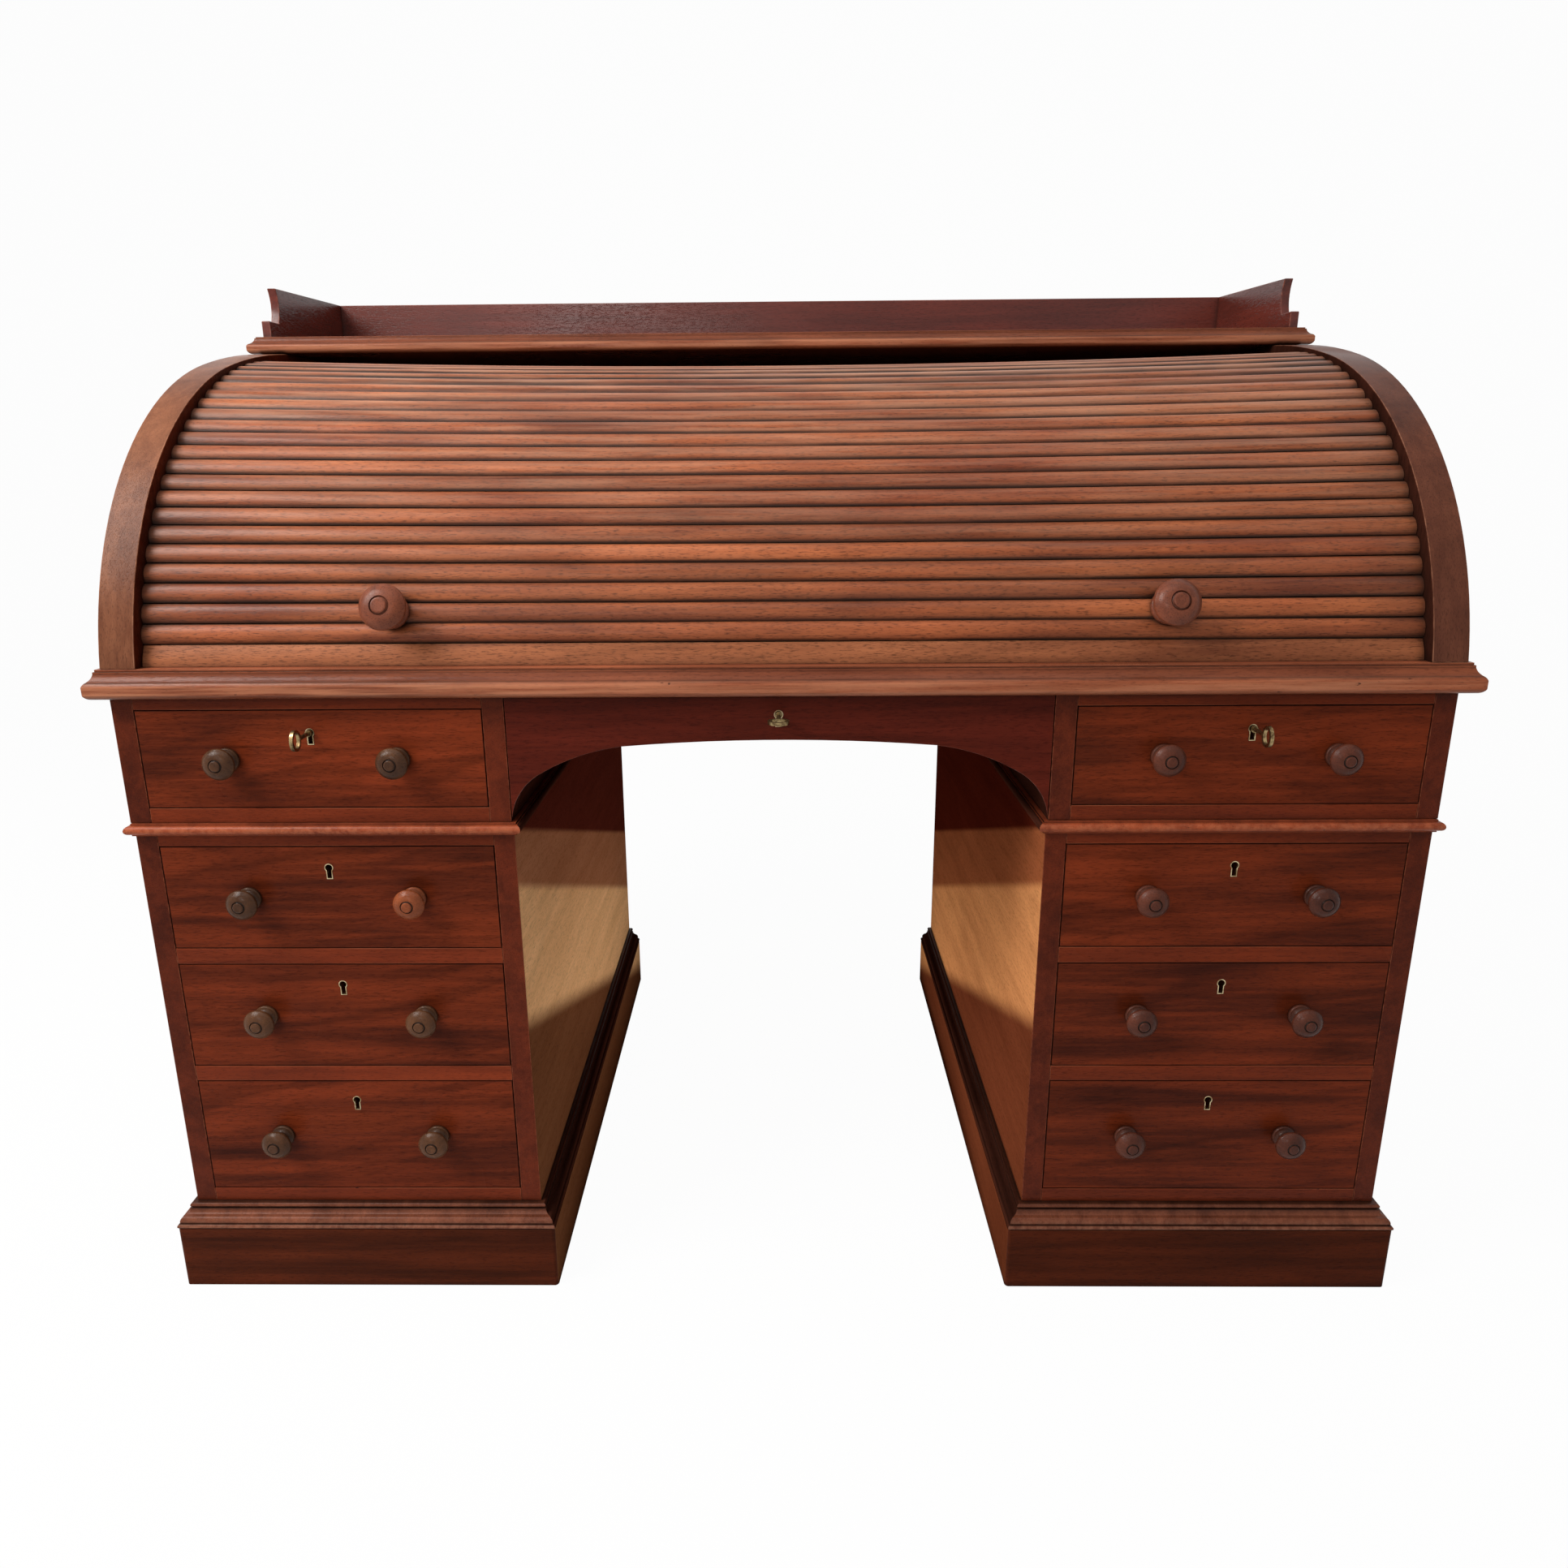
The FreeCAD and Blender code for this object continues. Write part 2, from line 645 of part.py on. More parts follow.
def build_drawer(name, opening, floor, height):
    """A drawer at the left or right: its front, its box, two knobs and its lock."""
    x = (opening[0] + drawer_gap, opening[1] - drawer_gap)
    z = (floor + drawer_gap, floor + height - drawer_gap)
    middle = (x[0] + x[1]) / 2
    knob_z = (z[0] + z[1]) / 2
    pivot_z = floor + height - keyhole_drop
    inside = front + front_thickness

    board = pierced(block(x, (front, inside), z), middle, front, pivot_z, front_thickness)
    knobs = []
    for knob_x in (middle - knob_spread, middle + knob_spread):
        knob = turned(knob_radius, knob_reach, knob_shares, knob_spigot_radius, knob_spigot_length)
        knob.translate(V(knob_x, front, knob_z))
        knobs.append(knob)
        seat = V(knob_x, front, knob_z)
        hole_radius = knob_spigot_radius + spigot_clearance
        hole = Part.makeCylinder(hole_radius, knob_spigot_length + spigot_clearance, seat, V(0, 1, 0))
        board = board.cut(hole)
    save(name + "_front", [board])
    save(name + "_knobs", knobs)

    box_y = (inside, inside + box_depth)
    box_z = (floor + rest_clearance, floor + height - box_top_drop)
    inner_x = (x[0] + box_board, x[1] - box_board)
    tray_z = (box_z[0] + box_bottom_rise, box_z[0] + box_bottom_rise + box_bottom)
    boards = [
        block((x[0], inner_x[0]), box_y, box_z),
        block((inner_x[1], x[1]), box_y, box_z),
        block(inner_x, (box_y[1] - box_board, box_y[1]), box_z),
        block(inner_x, (box_y[0], box_y[1] - box_board), tray_z),
    ]
    save(name + "_box", boards)

    case_y = (inside, inside + lock_depth)
    case_z = (pivot_z + lock_rise - lock_height, pivot_z + lock_rise)
    save(name + "_lock", [lock_case(middle, case_y, case_z, pivot_z), escutcheon(middle, front, pivot_z)])
    return middle, case_y, pivot_z


def build_drawers():
    for side, sign in (("left", -1), ("right", 1)):
        opening = sorted(sign * edge for edge in pedestal_opening)
        for name, floor in drawer_floors.items():
            build_drawer(side + "_" + name, opening, floor, drawer_heights[name])
        opening = sorted(sign * edge for edge in frieze_opening)
        middle, case_y, pivot_z = build_drawer(side + "_frieze", opening, frieze_floor, frieze_drawer_height)
        save(side + "_key", [key(middle, front, case_y, pivot_z, 0)])


# The apron's lock stands in a pocket of the apron, and its bolt under the tambour's bottom rail
apron_pivot = table_top - apron_keyhole_drop
apron_case_y = (front + apron_lock_front, front + apron_lock_front + apron_lock_depth)
apron_case_z = (table_top - apron_lock_height, table_top)
bolt_y = (apron_case_y[0] + bolt_stand, apron_case_y[0] + bolt_stand + bolt_thickness)
bolt_z = (table_top - bolt_tail, desk_surface - rest_clearance)

os.makedirs("parts", exist_ok=True)
build_plinths()
build_pedestals()
build_table_sides()
build_carcass_inside()
build_apron()
build_apron_lock()
build_desk_top()
build_cheeks()
build_tambour()
build_upper_top()
build_roll_inside()
build_drawers()
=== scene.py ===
import json
import math
import random

import bmesh
import bpy
from mathutils import Matrix, Vector

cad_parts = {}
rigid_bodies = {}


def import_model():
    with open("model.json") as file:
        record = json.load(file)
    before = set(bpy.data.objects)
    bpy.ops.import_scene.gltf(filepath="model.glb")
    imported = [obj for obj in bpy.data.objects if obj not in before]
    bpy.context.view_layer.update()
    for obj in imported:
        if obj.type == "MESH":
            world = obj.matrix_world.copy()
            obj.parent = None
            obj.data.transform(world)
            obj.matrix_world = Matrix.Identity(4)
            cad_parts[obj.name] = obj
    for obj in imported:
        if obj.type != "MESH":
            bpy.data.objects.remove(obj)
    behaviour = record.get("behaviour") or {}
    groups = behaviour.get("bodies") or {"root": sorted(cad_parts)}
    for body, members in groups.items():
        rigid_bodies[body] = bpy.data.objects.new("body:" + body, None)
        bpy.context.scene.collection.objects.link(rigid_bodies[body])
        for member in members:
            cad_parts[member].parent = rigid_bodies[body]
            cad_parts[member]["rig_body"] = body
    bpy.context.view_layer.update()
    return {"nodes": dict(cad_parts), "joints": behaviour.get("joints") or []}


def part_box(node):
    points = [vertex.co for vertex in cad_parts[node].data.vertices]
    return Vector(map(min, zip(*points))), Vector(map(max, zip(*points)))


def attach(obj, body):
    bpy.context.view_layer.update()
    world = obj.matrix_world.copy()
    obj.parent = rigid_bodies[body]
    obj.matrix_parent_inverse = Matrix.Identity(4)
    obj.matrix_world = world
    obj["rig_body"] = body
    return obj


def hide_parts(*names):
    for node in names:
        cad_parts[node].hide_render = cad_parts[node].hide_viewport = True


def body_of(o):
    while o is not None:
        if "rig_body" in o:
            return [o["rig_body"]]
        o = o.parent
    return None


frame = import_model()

# Plinths: a box of mahogany boards under each pedestal, butted at the corners and rubbed round
# by feet and brooms, with an ogee and bead moulding glued on top. The whole desk is French
# polished, so its timber and polish are made here, once.


def wire(tree, kind, sockets=None, **settings):
    """One node of a tree. Each socket takes a plain value, or the socket that feeds it."""
    made = tree.nodes.new(kind)
    for name, value in settings.items():
        setattr(made, name, value)
    for key, value in (sockets or {}).items():
        if isinstance(value, bpy.types.NodeSocket):
            tree.links.new(value, made.inputs[key])
        else:
            made.inputs[key].default_value = value
    return made


def reckon(tree, operation, first, second=0.0):
    return wire(tree, "ShaderNodeMath", {0: first, 1: second}, operation=operation).outputs[0]


def ease(tree, value, low, high, lowest=0.0, highest=1.0):
    """A value spread smoothly between two ends."""
    spread = {0: value, 1: low, 2: high, 3: lowest, 4: highest}
    return wire(tree, "ShaderNodeMapRange", spread, interpolation_type="SMOOTHSTEP").outputs[0]


def tint(tree, share, under, over, way="MIX"):
    colours = {0: share, 6: under, 7: over}
    return wire(tree, "ShaderNodeMix", colours, data_type="RGBA", blend_type=way).outputs[2]


def streaks(tree, place, per_metre, detail=3.0, twist=0.0):
    """Noise drawn out along the timber, with so many changes a metre along, across and through."""
    drawn = wire(tree, "ShaderNodeMapping", {"Vector": place, "Scale": per_metre}).outputs[0]
    noise = {"Vector": drawn, "Scale": 1.0, "Detail": detail, "Roughness": 0.6, "Distortion": twist}
    return wire(tree, "ShaderNodeTexNoise", noise).outputs[0]


def chart(red, green, blue):
    """A colour off a paint chart, 0 to 255, as linear light."""
    parts = [part / 255 for part in (red, green, blue)]
    return [p / 12.92 if p < 0.04045 else ((p + 0.055) / 1.055) ** 2.4 for p in parts] + [1.0]


def open_group(name, inputs, outputs):
    group = bpy.data.node_groups.new(name, "ShaderNodeTree")
    for label, kind in inputs.items():
        group.interface.new_socket(label, in_out="INPUT", socket_type="NodeSocket" + kind)
    for label, kind in outputs.items():
        group.interface.new_socket(label, in_out="OUTPUT", socket_type="NodeSocket" + kind)
    return group, wire(group, "NodeGroupInput").outputs


timber_group, given = open_group(
    "timber",
    {"Place": "Vector", "Tone": "Float", "Light": "Color", "Dark": "Color", "Figure": "Float",
     "Slant": "Float", "Grit": "Float"},
    {"Colour": "Color", "Pores": "Float", "Polish": "Float"})
bands = ease(timber_group, streaks(timber_group, given["Place"], (2.2, 34.0, 34.0), 4.0, 0.4), 0.34, 0.66)
lines = ease(timber_group, streaks(timber_group, given["Place"], (9.0, 190.0, 190.0), 3.0), 0.36, 0.7)
patches = ease(timber_group, streaks(timber_group, given["Place"], (3.0, 7.0, 7.0), 2.0), 0.32, 0.68)
slanted = wire(timber_group, "ShaderNodeVectorRotate", {"Vector": given["Place"], "Angle": given["Slant"]},
               rotation_type="Y_AXIS").outputs[0]
flames = ease(timber_group, streaks(timber_group, slanted, (4.2, 15.0, 34.0), 3.0, 1.0), 0.45, 0.78)
pores = ease(timber_group, streaks(timber_group, given["Place"], (120.0, 820.0, 820.0), 2.0), 0.5, 0.7)
share = reckon(timber_group, "ADD", reckon(timber_group, "MULTIPLY", bands, 0.48),
               reckon(timber_group, "MULTIPLY", lines, 0.22))
share = reckon(timber_group, "ADD", share, reckon(timber_group, "MULTIPLY", patches, 0.3))
grown = tint(timber_group, share, given["Dark"], given["Light"])
shaded = tint(timber_group, 0.72, given["Dark"], (0.0, 0.0, 0.0, 1.0))
grown = tint(timber_group, reckon(timber_group, "MULTIPLY", flames, given["Figure"]), grown, shaded)
grown = tint(timber_group, reckon(timber_group, "MULTIPLY", pores, given["Grit"]), grown, shaded)
level = ease(timber_group, given["Tone"], 0.0, 1.0, 0.88, 1.12)
grown = wire(timber_group, "ShaderNodeHueSaturation", {"Value": level, "Color": grown}).outputs[0]
wire(timber_group, "NodeGroupOutput", {"Colour": grown, "Pores": pores, "Polish": patches})

wear_group, given = open_group(
    "arris_wear",
    {"Colour": "Color", "Arris": "Float", "Place": "Vector", "Worn": "Color", "Amount": "Float"},
    {"Colour": "Color", "Dents": "Float"})
rubbed = ease(wear_group, streaks(wear_group, given["Place"], (6.0, 150.0, 150.0), 3.0), 0.32, 0.68)
rubbed = reckon(wear_group, "MULTIPLY", rubbed, given["Arris"])
dents = ease(wear_group, streaks(wear_group, given["Place"], (70.0, 150.0, 150.0), 2.0), 0.7, 0.76)
dents = reckon(wear_group, "MULTIPLY", dents, given["Arris"])
rubbed = reckon(wear_group, "MULTIPLY", rubbed, given["Amount"])
worn = tint(wear_group, rubbed, given["Colour"], given["Worn"])
worn = tint(wear_group, dents, worn, chart(62, 32, 22))
wire(wear_group, "NodeGroupOutput", {"Colour": worn, "Dents": dents})

# Grime and painted shade, darker where ambient occlusion finds corners, joints and hollows.
grime_and_shade_group, given = open_group(
    "corner_grime_and_shade", {"Colour": "Color", "Reach": "Float", "Amount": "Float", "Place": "Vector"},
    {"Colour": "Color", "Grime and Shade": "Float"})
closed = wire(grime_and_shade_group, "ShaderNodeAmbientOcclusion", {"Distance": given["Reach"]}, samples=6)
grime_and_shade = ease(grime_and_shade_group, closed.outputs["AO"], 0.35, 0.95, 1.0, 0.0)
uneven = streaks(grime_and_shade_group, given["Place"], (22.0, 22.0, 22.0), 3.0)
grime_and_shade = reckon(grime_and_shade_group, "MULTIPLY", grime_and_shade, ease(grime_and_shade_group, uneven, 0.2, 0.7, 0.5))
grime_and_shade = reckon(grime_and_shade_group, "MULTIPLY", grime_and_shade, given["Amount"])
dirty_and_shaded = tint(grime_and_shade_group, grime_and_shade, given["Colour"], chart(26, 14, 10))
wire(grime_and_shade_group, "NodeGroupOutput", {"Colour": dirty_and_shaded, "Grime and Shade": grime_and_shade})


def placed(tree, group, **sockets):
    return wire(tree, "ShaderNodeGroup", sockets, node_tree=group).outputs


def open_finish(name):
    """A new material, with its tree and its shader."""
    material = bpy.data.materials.new(name)
    material.use_nodes = True
    return material, material.node_tree, material.node_tree.nodes["Principled BSDF"]


def polished(name, light, dark, worn, figure=0.3, slant=0.0, wear=0.6, grime_and_shade=0.8, grit=0.4,
             rough=(0.24, 0.36), gloss=0.12):
    """French polished timber, from the length, tone and arrises stored on its boards."""
    material, tree, shader = open_finish(name)
    place = wire(tree, "ShaderNodeAttribute", attribute_name="timber").outputs["Vector"]
    tone = wire(tree, "ShaderNodeAttribute", attribute_name="tone").outputs["Fac"]
    arris = wire(tree, "ShaderNodeAttribute", attribute_name="arris").outputs["Fac"]
    soil_and_shade = wire(tree, "ShaderNodeAttribute", attribute_name="soil_and_shade").outputs["Fac"]
    grain = placed(tree, timber_group, Place=place, Tone=tone, Light=chart(*light), Dark=chart(*dark),
                   Figure=figure, Slant=math.radians(slant), Grit=grit)
    rubbed = placed(tree, wear_group, Colour=grain["Colour"], Arris=arris, Place=place, Worn=chart(*worn),
                    Amount=wear)
    # Grime and painted shade in corners and joints.
    soiled_and_shaded = placed(tree, grime_and_shade_group, Colour=rubbed["Colour"], Reach=0.014, Amount=grime_and_shade, Place=place)
    # The soil attribute darkens a board with dirt and painted shade, in slat joints and on knobs.
    broken = ease(tree, streaks(tree, place, (7.0, 60.0, 60.0)), 0.25, 0.6, 0.45)
    soil_and_shade = reckon(tree, "MULTIPLY", soil_and_shade, broken)
    tree.links.new(tint(tree, soil_and_shade, soiled_and_shaded["Colour"], chart(40, 26, 19)), shader.inputs["Base Color"])
    dull = ease(tree, grain["Polish"], 0.0, 1.0, *rough)
    dull = reckon(tree, "ADD", dull, reckon(tree, "MULTIPLY", soiled_and_shaded["Grime and Shade"], 0.25))
    tree.links.new(dull, shader.inputs["Roughness"])
    relief = reckon(tree, "ADD", grain["Pores"], reckon(tree, "MULTIPLY", rubbed["Dents"], 3.0))
    bump = wire(tree, "ShaderNodeBump", {"Height": relief, "Strength": 0.25, "Distance": 0.0004}, invert=True)
    tree.links.new(bump.outputs[0], shader.inputs["Normal"])
    shader.inputs["Specular IOR Level"].default_value = gloss
    return material


def islands(form):
    """The separate boards in a mesh, each as a set of its corners."""
    waiting = set(form.verts)
    found = []
    while waiting:
        board = {waiting.pop()}
        border = list(board)
        while border:
            vert = border.pop()
            near = {edge.other_vert(vert) for edge in vert.link_edges} - board
            board |= near
            border.extend(near)
        waiting -= board
        found.append(board)
    return sorted(found, key=lambda board: min(vert.index for vert in board))


def set_down(name, form, material):
    """A finished form as an object of its own, in its material."""
    mesh = bpy.data.meshes.new(name)
    form.to_mesh(mesh)
    form.free()
    piece = bpy.data.objects.new(name, mesh)
    bpy.context.scene.collection.objects.link(piece)
    mesh.materials.append(material)
    return piece


def worked(node, material, arris=0.0, along=None, proud=0.0, shade=None, corner=0.0):
    """A node's solids as finished boards: facets merged, arrises eased, and timber laid along each.

    On a moulding, what stands within proud of its outer line is rubbed as an arris is. A shade from
    0 to 1 sets how light the timber is, which otherwise differs from board to board. The upright
    edges at the front and back can be worn to a round corner."""
    source = frame["nodes"][node]
    weld = 0.00001
    flat_bend = math.radians(0.3)
    arris_bend = math.radians(40)
    crease_bend = math.radians(36)
    upright_share = 0.9
    form = bmesh.new()
    form.from_mesh(source.data)
    bmesh.ops.remove_doubles(form, verts=form.verts, dist=weld)
    bmesh.ops.split_edges(form, edges=[edge for edge in form.edges if len(edge.link_faces) > 2])
    for board in islands(form):
        bmesh.ops.remove_doubles(form, verts=list(board), dist=weld)
    bmesh.ops.dissolve_limit(form, angle_limit=flat_bend, verts=form.verts, edges=form.edges)
    low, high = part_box(node)
    if corner:
        upright = [edge for edge in form.edges if edge.is_manifold and edge.is_convex
                   and abs(edge.verts[0].co.z - edge.verts[1].co.z) > upright_share * edge.calc_length()
                   and min(edge.verts[0].co.y - low.y, high.y - edge.verts[0].co.y) < 10 * weld]
        bmesh.ops.bevel(form, geom=upright, offset=corner, offset_type="OFFSET", segments=6, profile=0.5,
                        affect="EDGES", clamp_overlap=True)
    worn_faces = set()
    if arris:
        sharp = [edge for edge in form.edges if edge.is_manifold and edge.is_convex
                 and edge.calc_face_angle() > arris_bend and edge.calc_length() > 5 * arris]
        eased = bmesh.ops.bevel(form, geom=sharp, offset=arris, offset_type="OFFSET", segments=2,
                                profile=0.5, affect="EDGES", clamp_overlap=True)
        worn_faces = set(eased["faces"])
    timber = form.verts.layers.float_vector.new("timber")
    tone = form.verts.layers.float.new("tone")
    rubbed = form.loops.layers.float.new("arris")
    for face in form.faces:
        face.smooth = True
        for loop in face.loops:
            spot = loop.vert.co
            inset = min(spot.x - low.x, high.x - spot.x, spot.y - low.y)
            loop[rubbed] = 1.0 if face in worn_faces else max(0.0, 1.0 - inset / proud) if proud else 0.0
    for edge in form.edges:
        edge.smooth = not edge.is_manifold or edge.calc_face_angle() < crease_bend
    form.verts.index_update()
    chance = random.Random(node)
    for board in islands(form):
        spans = [max(v.co[i] for v in board) - min(v.co[i] for v in board) for i in range(3)]
        lead = spans.index(max(spans)) if along is None else "xyz".index(along)
        start = Vector([chance.uniform(0.0, 9.0) for _ in range(3)])
        board_shade = chance.random() if shade is None else shade
        for vert in board:
            vert[timber] = start + Vector([vert.co[(lead + i) % 3] for i in range(3)])
            vert[tone] = board_shade
    piece = set_down(node + ".finished", form, material)
    piece.modifiers.new("flats", "WEIGHTED_NORMAL").keep_sharp = True
    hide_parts(node)
    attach(piece, body_of(source)[0])
    return piece


kneehole_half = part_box("kneehole_apron")[1].x


def refaced(piece, finishes, reach=0.05, lean=0.9):
    """Other finishes, left and right, on the faces that look into the kneehole."""
    for material in finishes:
        piece.data.materials.append(material)
    for face in piece.data.polygons:
        looks_in = face.normal.x * face.center.x < -lean * abs(face.center.x)
        if looks_in and abs(face.center.x) < kneehole_half + reach:
            face.material_index = len(finishes) if face.center.x > 0.0 else 1


def spot_in(tree):
    """Where a point is on the desk, as x, y and z."""
    place = wire(tree, "ShaderNodeTexCoord").outputs["Object"]
    return wire(tree, "ShaderNodeSeparateXYZ", {0: place}).outputs


def painted_reflection(side, light, dark, foot):
    """A reflection of a pale floor, painted on the polished faces in the kneehole as a pale band.

    The darker parts of the reflection are painted above the band and at its foot. Each shade has a slope
    towards the back, the heights where it starts and is full, and a colour."""
    shades = ((0.415, 0.360, 0.376, (176, 150, 150)), (0.358, 0.452, 0.462, (138, 96, 106)),
              (0.41, 0.216, 0.182, foot))
    material = polished(side + "_painted_reflection_mahogany", light, dark, (160, 90, 62), figure=0.2, rough=(0.3, 0.36),
                        gloss=0.0)
    tree = material.node_tree
    finish = tree.nodes["Principled BSDF"].inputs["Base Color"]
    colour = finish.links[0].from_socket
    spot = spot_in(tree)
    for slope, start, end, shade in shades:
        height = reckon(tree, "ADD", spot["Z"], reckon(tree, "MULTIPLY", spot["Y"], slope))
        painted_dark = tint(tree, 1.0, colour, chart(*shade), "MULTIPLY")
        colour = tint(tree, ease(tree, height, start, end), colour, painted_dark)
    tree.links.new(colour, finish)
    return material


def quirked(material, node, stops):
    """Painted shade and old dirt in the hollows of a moulding and under it, at each share of its height."""
    low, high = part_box(node)
    tree = material.node_tree
    finish = tree.nodes["Principled BSDF"].inputs["Base Color"]
    spot = spot_in(tree)
    height = reckon(tree, "DIVIDE", reckon(tree, "SUBTRACT", spot["Z"], low.z), high.z - low.z)
    ramp = wire(tree, "ShaderNodeValToRGB", {0: height})
    marks = ramp.color_ramp.elements
    marks[0].color = [stops[0][1]] * 3 + [1.0]
    marks[-1].color = [stops[-1][1]] * 3 + [1.0]
    for share, level in stops[1:-1]:
        marks.new(share).color = [level] * 3 + [1.0]
    tree.links.new(tint(tree, 1.0, finish.links[0].from_socket, ramp.outputs[0], "MULTIPLY"), finish)


plinth_mahogany = polished("plinth_mahogany", (94, 40, 20), (56, 24, 12), (126, 76, 52), wear=0.5,
                           rough=(0.36, 0.5), gloss=0.025)
moulding_mahogany = polished("moulding_mahogany", (142, 82, 58), (92, 47, 31), (172, 118, 92), wear=0.4,
                             grime_and_shade=1.0)
# Darker mahogany without gloss, for faces in the kneehole and in recesses: painted shade.
painted_shade_mahogany = polished("painted_shade_mahogany", (64, 33, 24), (42, 21, 15), (90, 49, 36), rough=(0.4, 0.5),
                          gloss=0.0)
# Painted reflections for the faces that look into the kneehole, left and right.
kneehole_finishes = [painted_reflection("left", (238, 190, 138), (214, 166, 116), (122, 100, 94)),
                     painted_reflection("right", (212, 146, 92), (184, 122, 76), (134, 106, 110))]
plinths = worked("plinth_boards", plinth_mahogany, arris=0.0022, corner=0.005)
# The plinth's faces that look into the kneehole take the painted reflections.
refaced(plinths, kneehole_finishes)
# The left plinth is set lighter and the right darker: painted light and shade, as light falls from the left.
for vert, shade in zip(plinths.data.vertices, plinths.data.attributes["tone"].data):
    shade.value = 0.0 if vert.co.x > 0.0 else 1.0
quirked(moulding_mahogany, "plinth_mouldings", (
    (0.0, 0.4), (0.03, 0.75), (0.1, 1.0), (0.18, 0.85), (0.205, 0.3), (0.235, 0.3), (0.27, 1.0), (0.55, 1.0),
    (0.7, 0.8), (0.75, 0.45), (0.785, 0.25), (0.82, 0.8), (0.89, 1.0), (0.97, 0.7), (1.0, 0.4)))
mouldings = worked("plinth_mouldings", moulding_mahogany, arris=0.0006, proud=0.005)
# Its faces that look into the kneehole are painted in shade.
refaced(mouldings, [painted_shade_mahogany], lean=0.2)

# Pedestals: solid mahogany sides, housed oak bottoms and runners, and a thin back board.
# The rails between the drawers are dovetailed into the sides, and a bead-edged top
# closes each pedestal.
case_mahogany = polished("case_mahogany", (106, 43, 23), (70, 27, 15), (150, 84, 58), rough=(0.2, 0.28),
                         gloss=0.06)
lining_oak = polished("lining_oak", (192, 138, 86), (148, 98, 56), (202, 152, 104), figure=0.1, wear=0.3,
                      grime_and_shade=0.5, rough=(0.5, 0.65), gloss=0.08)
backing_oak = polished("backing_oak", (152, 104, 66), (114, 74, 46), (166, 120, 84), figure=0.1, wear=0.3,
                       grime_and_shade=0.6, rough=(0.5, 0.65), gloss=0.05)
# The pedestal sides' faces that look into the kneehole take the painted reflections.
refaced(worked("pedestal_sides", case_mahogany, arris=0.0009), kneehole_finishes)
worked("carcass_bottoms", lining_oak)
worked("carcass_backs", backing_oak)
worked("drawer_runners", lining_oak)
bead_mahogany = polished("bead_mahogany", (172, 82, 48), (124, 55, 33), (196, 116, 80), figure=0.15,
                         wear=0.4)
# The bead's faces that look into the kneehole are painted in shade.
refaced(worked("pedestal_tops", bead_mahogany, proud=0.004), [painted_shade_mahogany], lean=0.2)

# Table part: the two ends, the piers beside the kneehole and the rails round the frieze
# drawers, in solid mahogany, with an arched apron tenoned between the piers.
# The piers' faces in the kneehole are painted in shade.
refaced(worked("table_sides", case_mahogany, arris=0.0009), [painted_shade_mahogany])
rail_front_mahogany = polished("rail_front_mahogany", (134, 55, 28), (90, 35, 18), (160, 90, 62),
                               gloss=0.06)
worked("drawer_rails", rail_front_mahogany, arris=0.0008)
apron_mahogany = polished("apron_mahogany", (104, 38, 25), (68, 24, 16), (130, 66, 46), figure=0.25,
                          gloss=0.04)
apron = worked("kneehole_apron", apron_mahogany, arris=0.0008)
# All but the apron's front is painted in shade.
apron.data.materials.append(painted_shade_mahogany)
for face in apron.data.polygons:
    face.material_index = 0 if face.normal.y < -0.3 else 1

# Locks: sheet brass cases let in behind the fronts, and thin brass liners in the keyholes.
# The apron's lock shoots a brass bolt up into the roll's bottom rail.


def aged_brass(name, bright, dull):
    material, tree, shader = open_finish(name)
    place = wire(tree, "ShaderNodeTexCoord").outputs["Object"]
    cloud = ease(tree, streaks(tree, place, (160.0, 160.0, 160.0), 4.0), 0.36, 0.66)
    metal = tint(tree, cloud, chart(*bright), chart(*dull))
    # Grime and painted shade in the hollows of the brass.
    soiled_and_shaded = placed(tree, grime_and_shade_group, Colour=metal, Reach=0.004, Amount=0.9, Place=place)
    tree.links.new(soiled_and_shaded["Colour"], shader.inputs["Base Color"])
    tree.links.new(ease(tree, cloud, 0.0, 1.0, 0.26, 0.5), shader.inputs["Roughness"])
    shader.inputs["Metallic"].default_value = 1.0
    return material


lock_brass = aged_brass("lock_brass", (204, 184, 146), (140, 112, 78))
worked("apron_lock", lock_brass)
worked("apron_lock_bolt", lock_brass, arris=0.0004)

# Drawers: a front faced with flame mahogany, with a thin gap all round, on an oak box. Two turned
# knobs are glued into each front, and the lock sits behind its keyhole.
flame_mahogany = polished("flame_mahogany", (134, 55, 27), (64, 24, 12), (44, 19, 12), figure=0.5, slant=9.0,
                          wear=0.9, rough=(0.24, 0.36), gloss=0.05)
knob_finishes = {}
for name, light, dark in (("left", (100, 64, 40), (62, 38, 24)), ("right", (98, 52, 37), (62, 31, 22)),
                          ("new", (158, 84, 48), (112, 56, 32))):
    knob_finishes[name] = polished(name + "_knob_mahogany", light, dark, (150, 104, 76), figure=0.2,
                                   grime_and_shade=0.9, rough=(0.2, 0.32), gloss=0.13)


def knob_painted_shade(piece, face, knobs, hollow=(0.1, 0.3, 0.56, 0.64), ring=(0.31, 0.4, 0.9, 0.95)):
    """Painted shade behind the head of each turned knob and in the ring round its button."""
    low, high = knobs
    radius = (high.z - low.z) / 2
    soil_and_shade = piece.data.attributes.new("soil_and_shade", "FLOAT", "POINT")
    for vert in piece.data.vertices:
        out = (face - vert.co.y) / (face - low.y)
        rising = (out - hollow[0]) / (hollow[1] - hollow[0])
        falling = (hollow[3] - out) / (hollow[3] - hollow[2])
        aside = min(abs(vert.co.x - low.x - radius), abs(vert.co.x - high.x + radius))
        turn = math.hypot(aside, vert.co.z - low.z - radius) / radius
        in_ring = ring[0] < turn < ring[1] and ring[2] < out < ring[3]
        soil_and_shade.data[vert.index].value = 1.0 if in_ring else 0.95 * max(0.0, min(1.0, rising, falling))


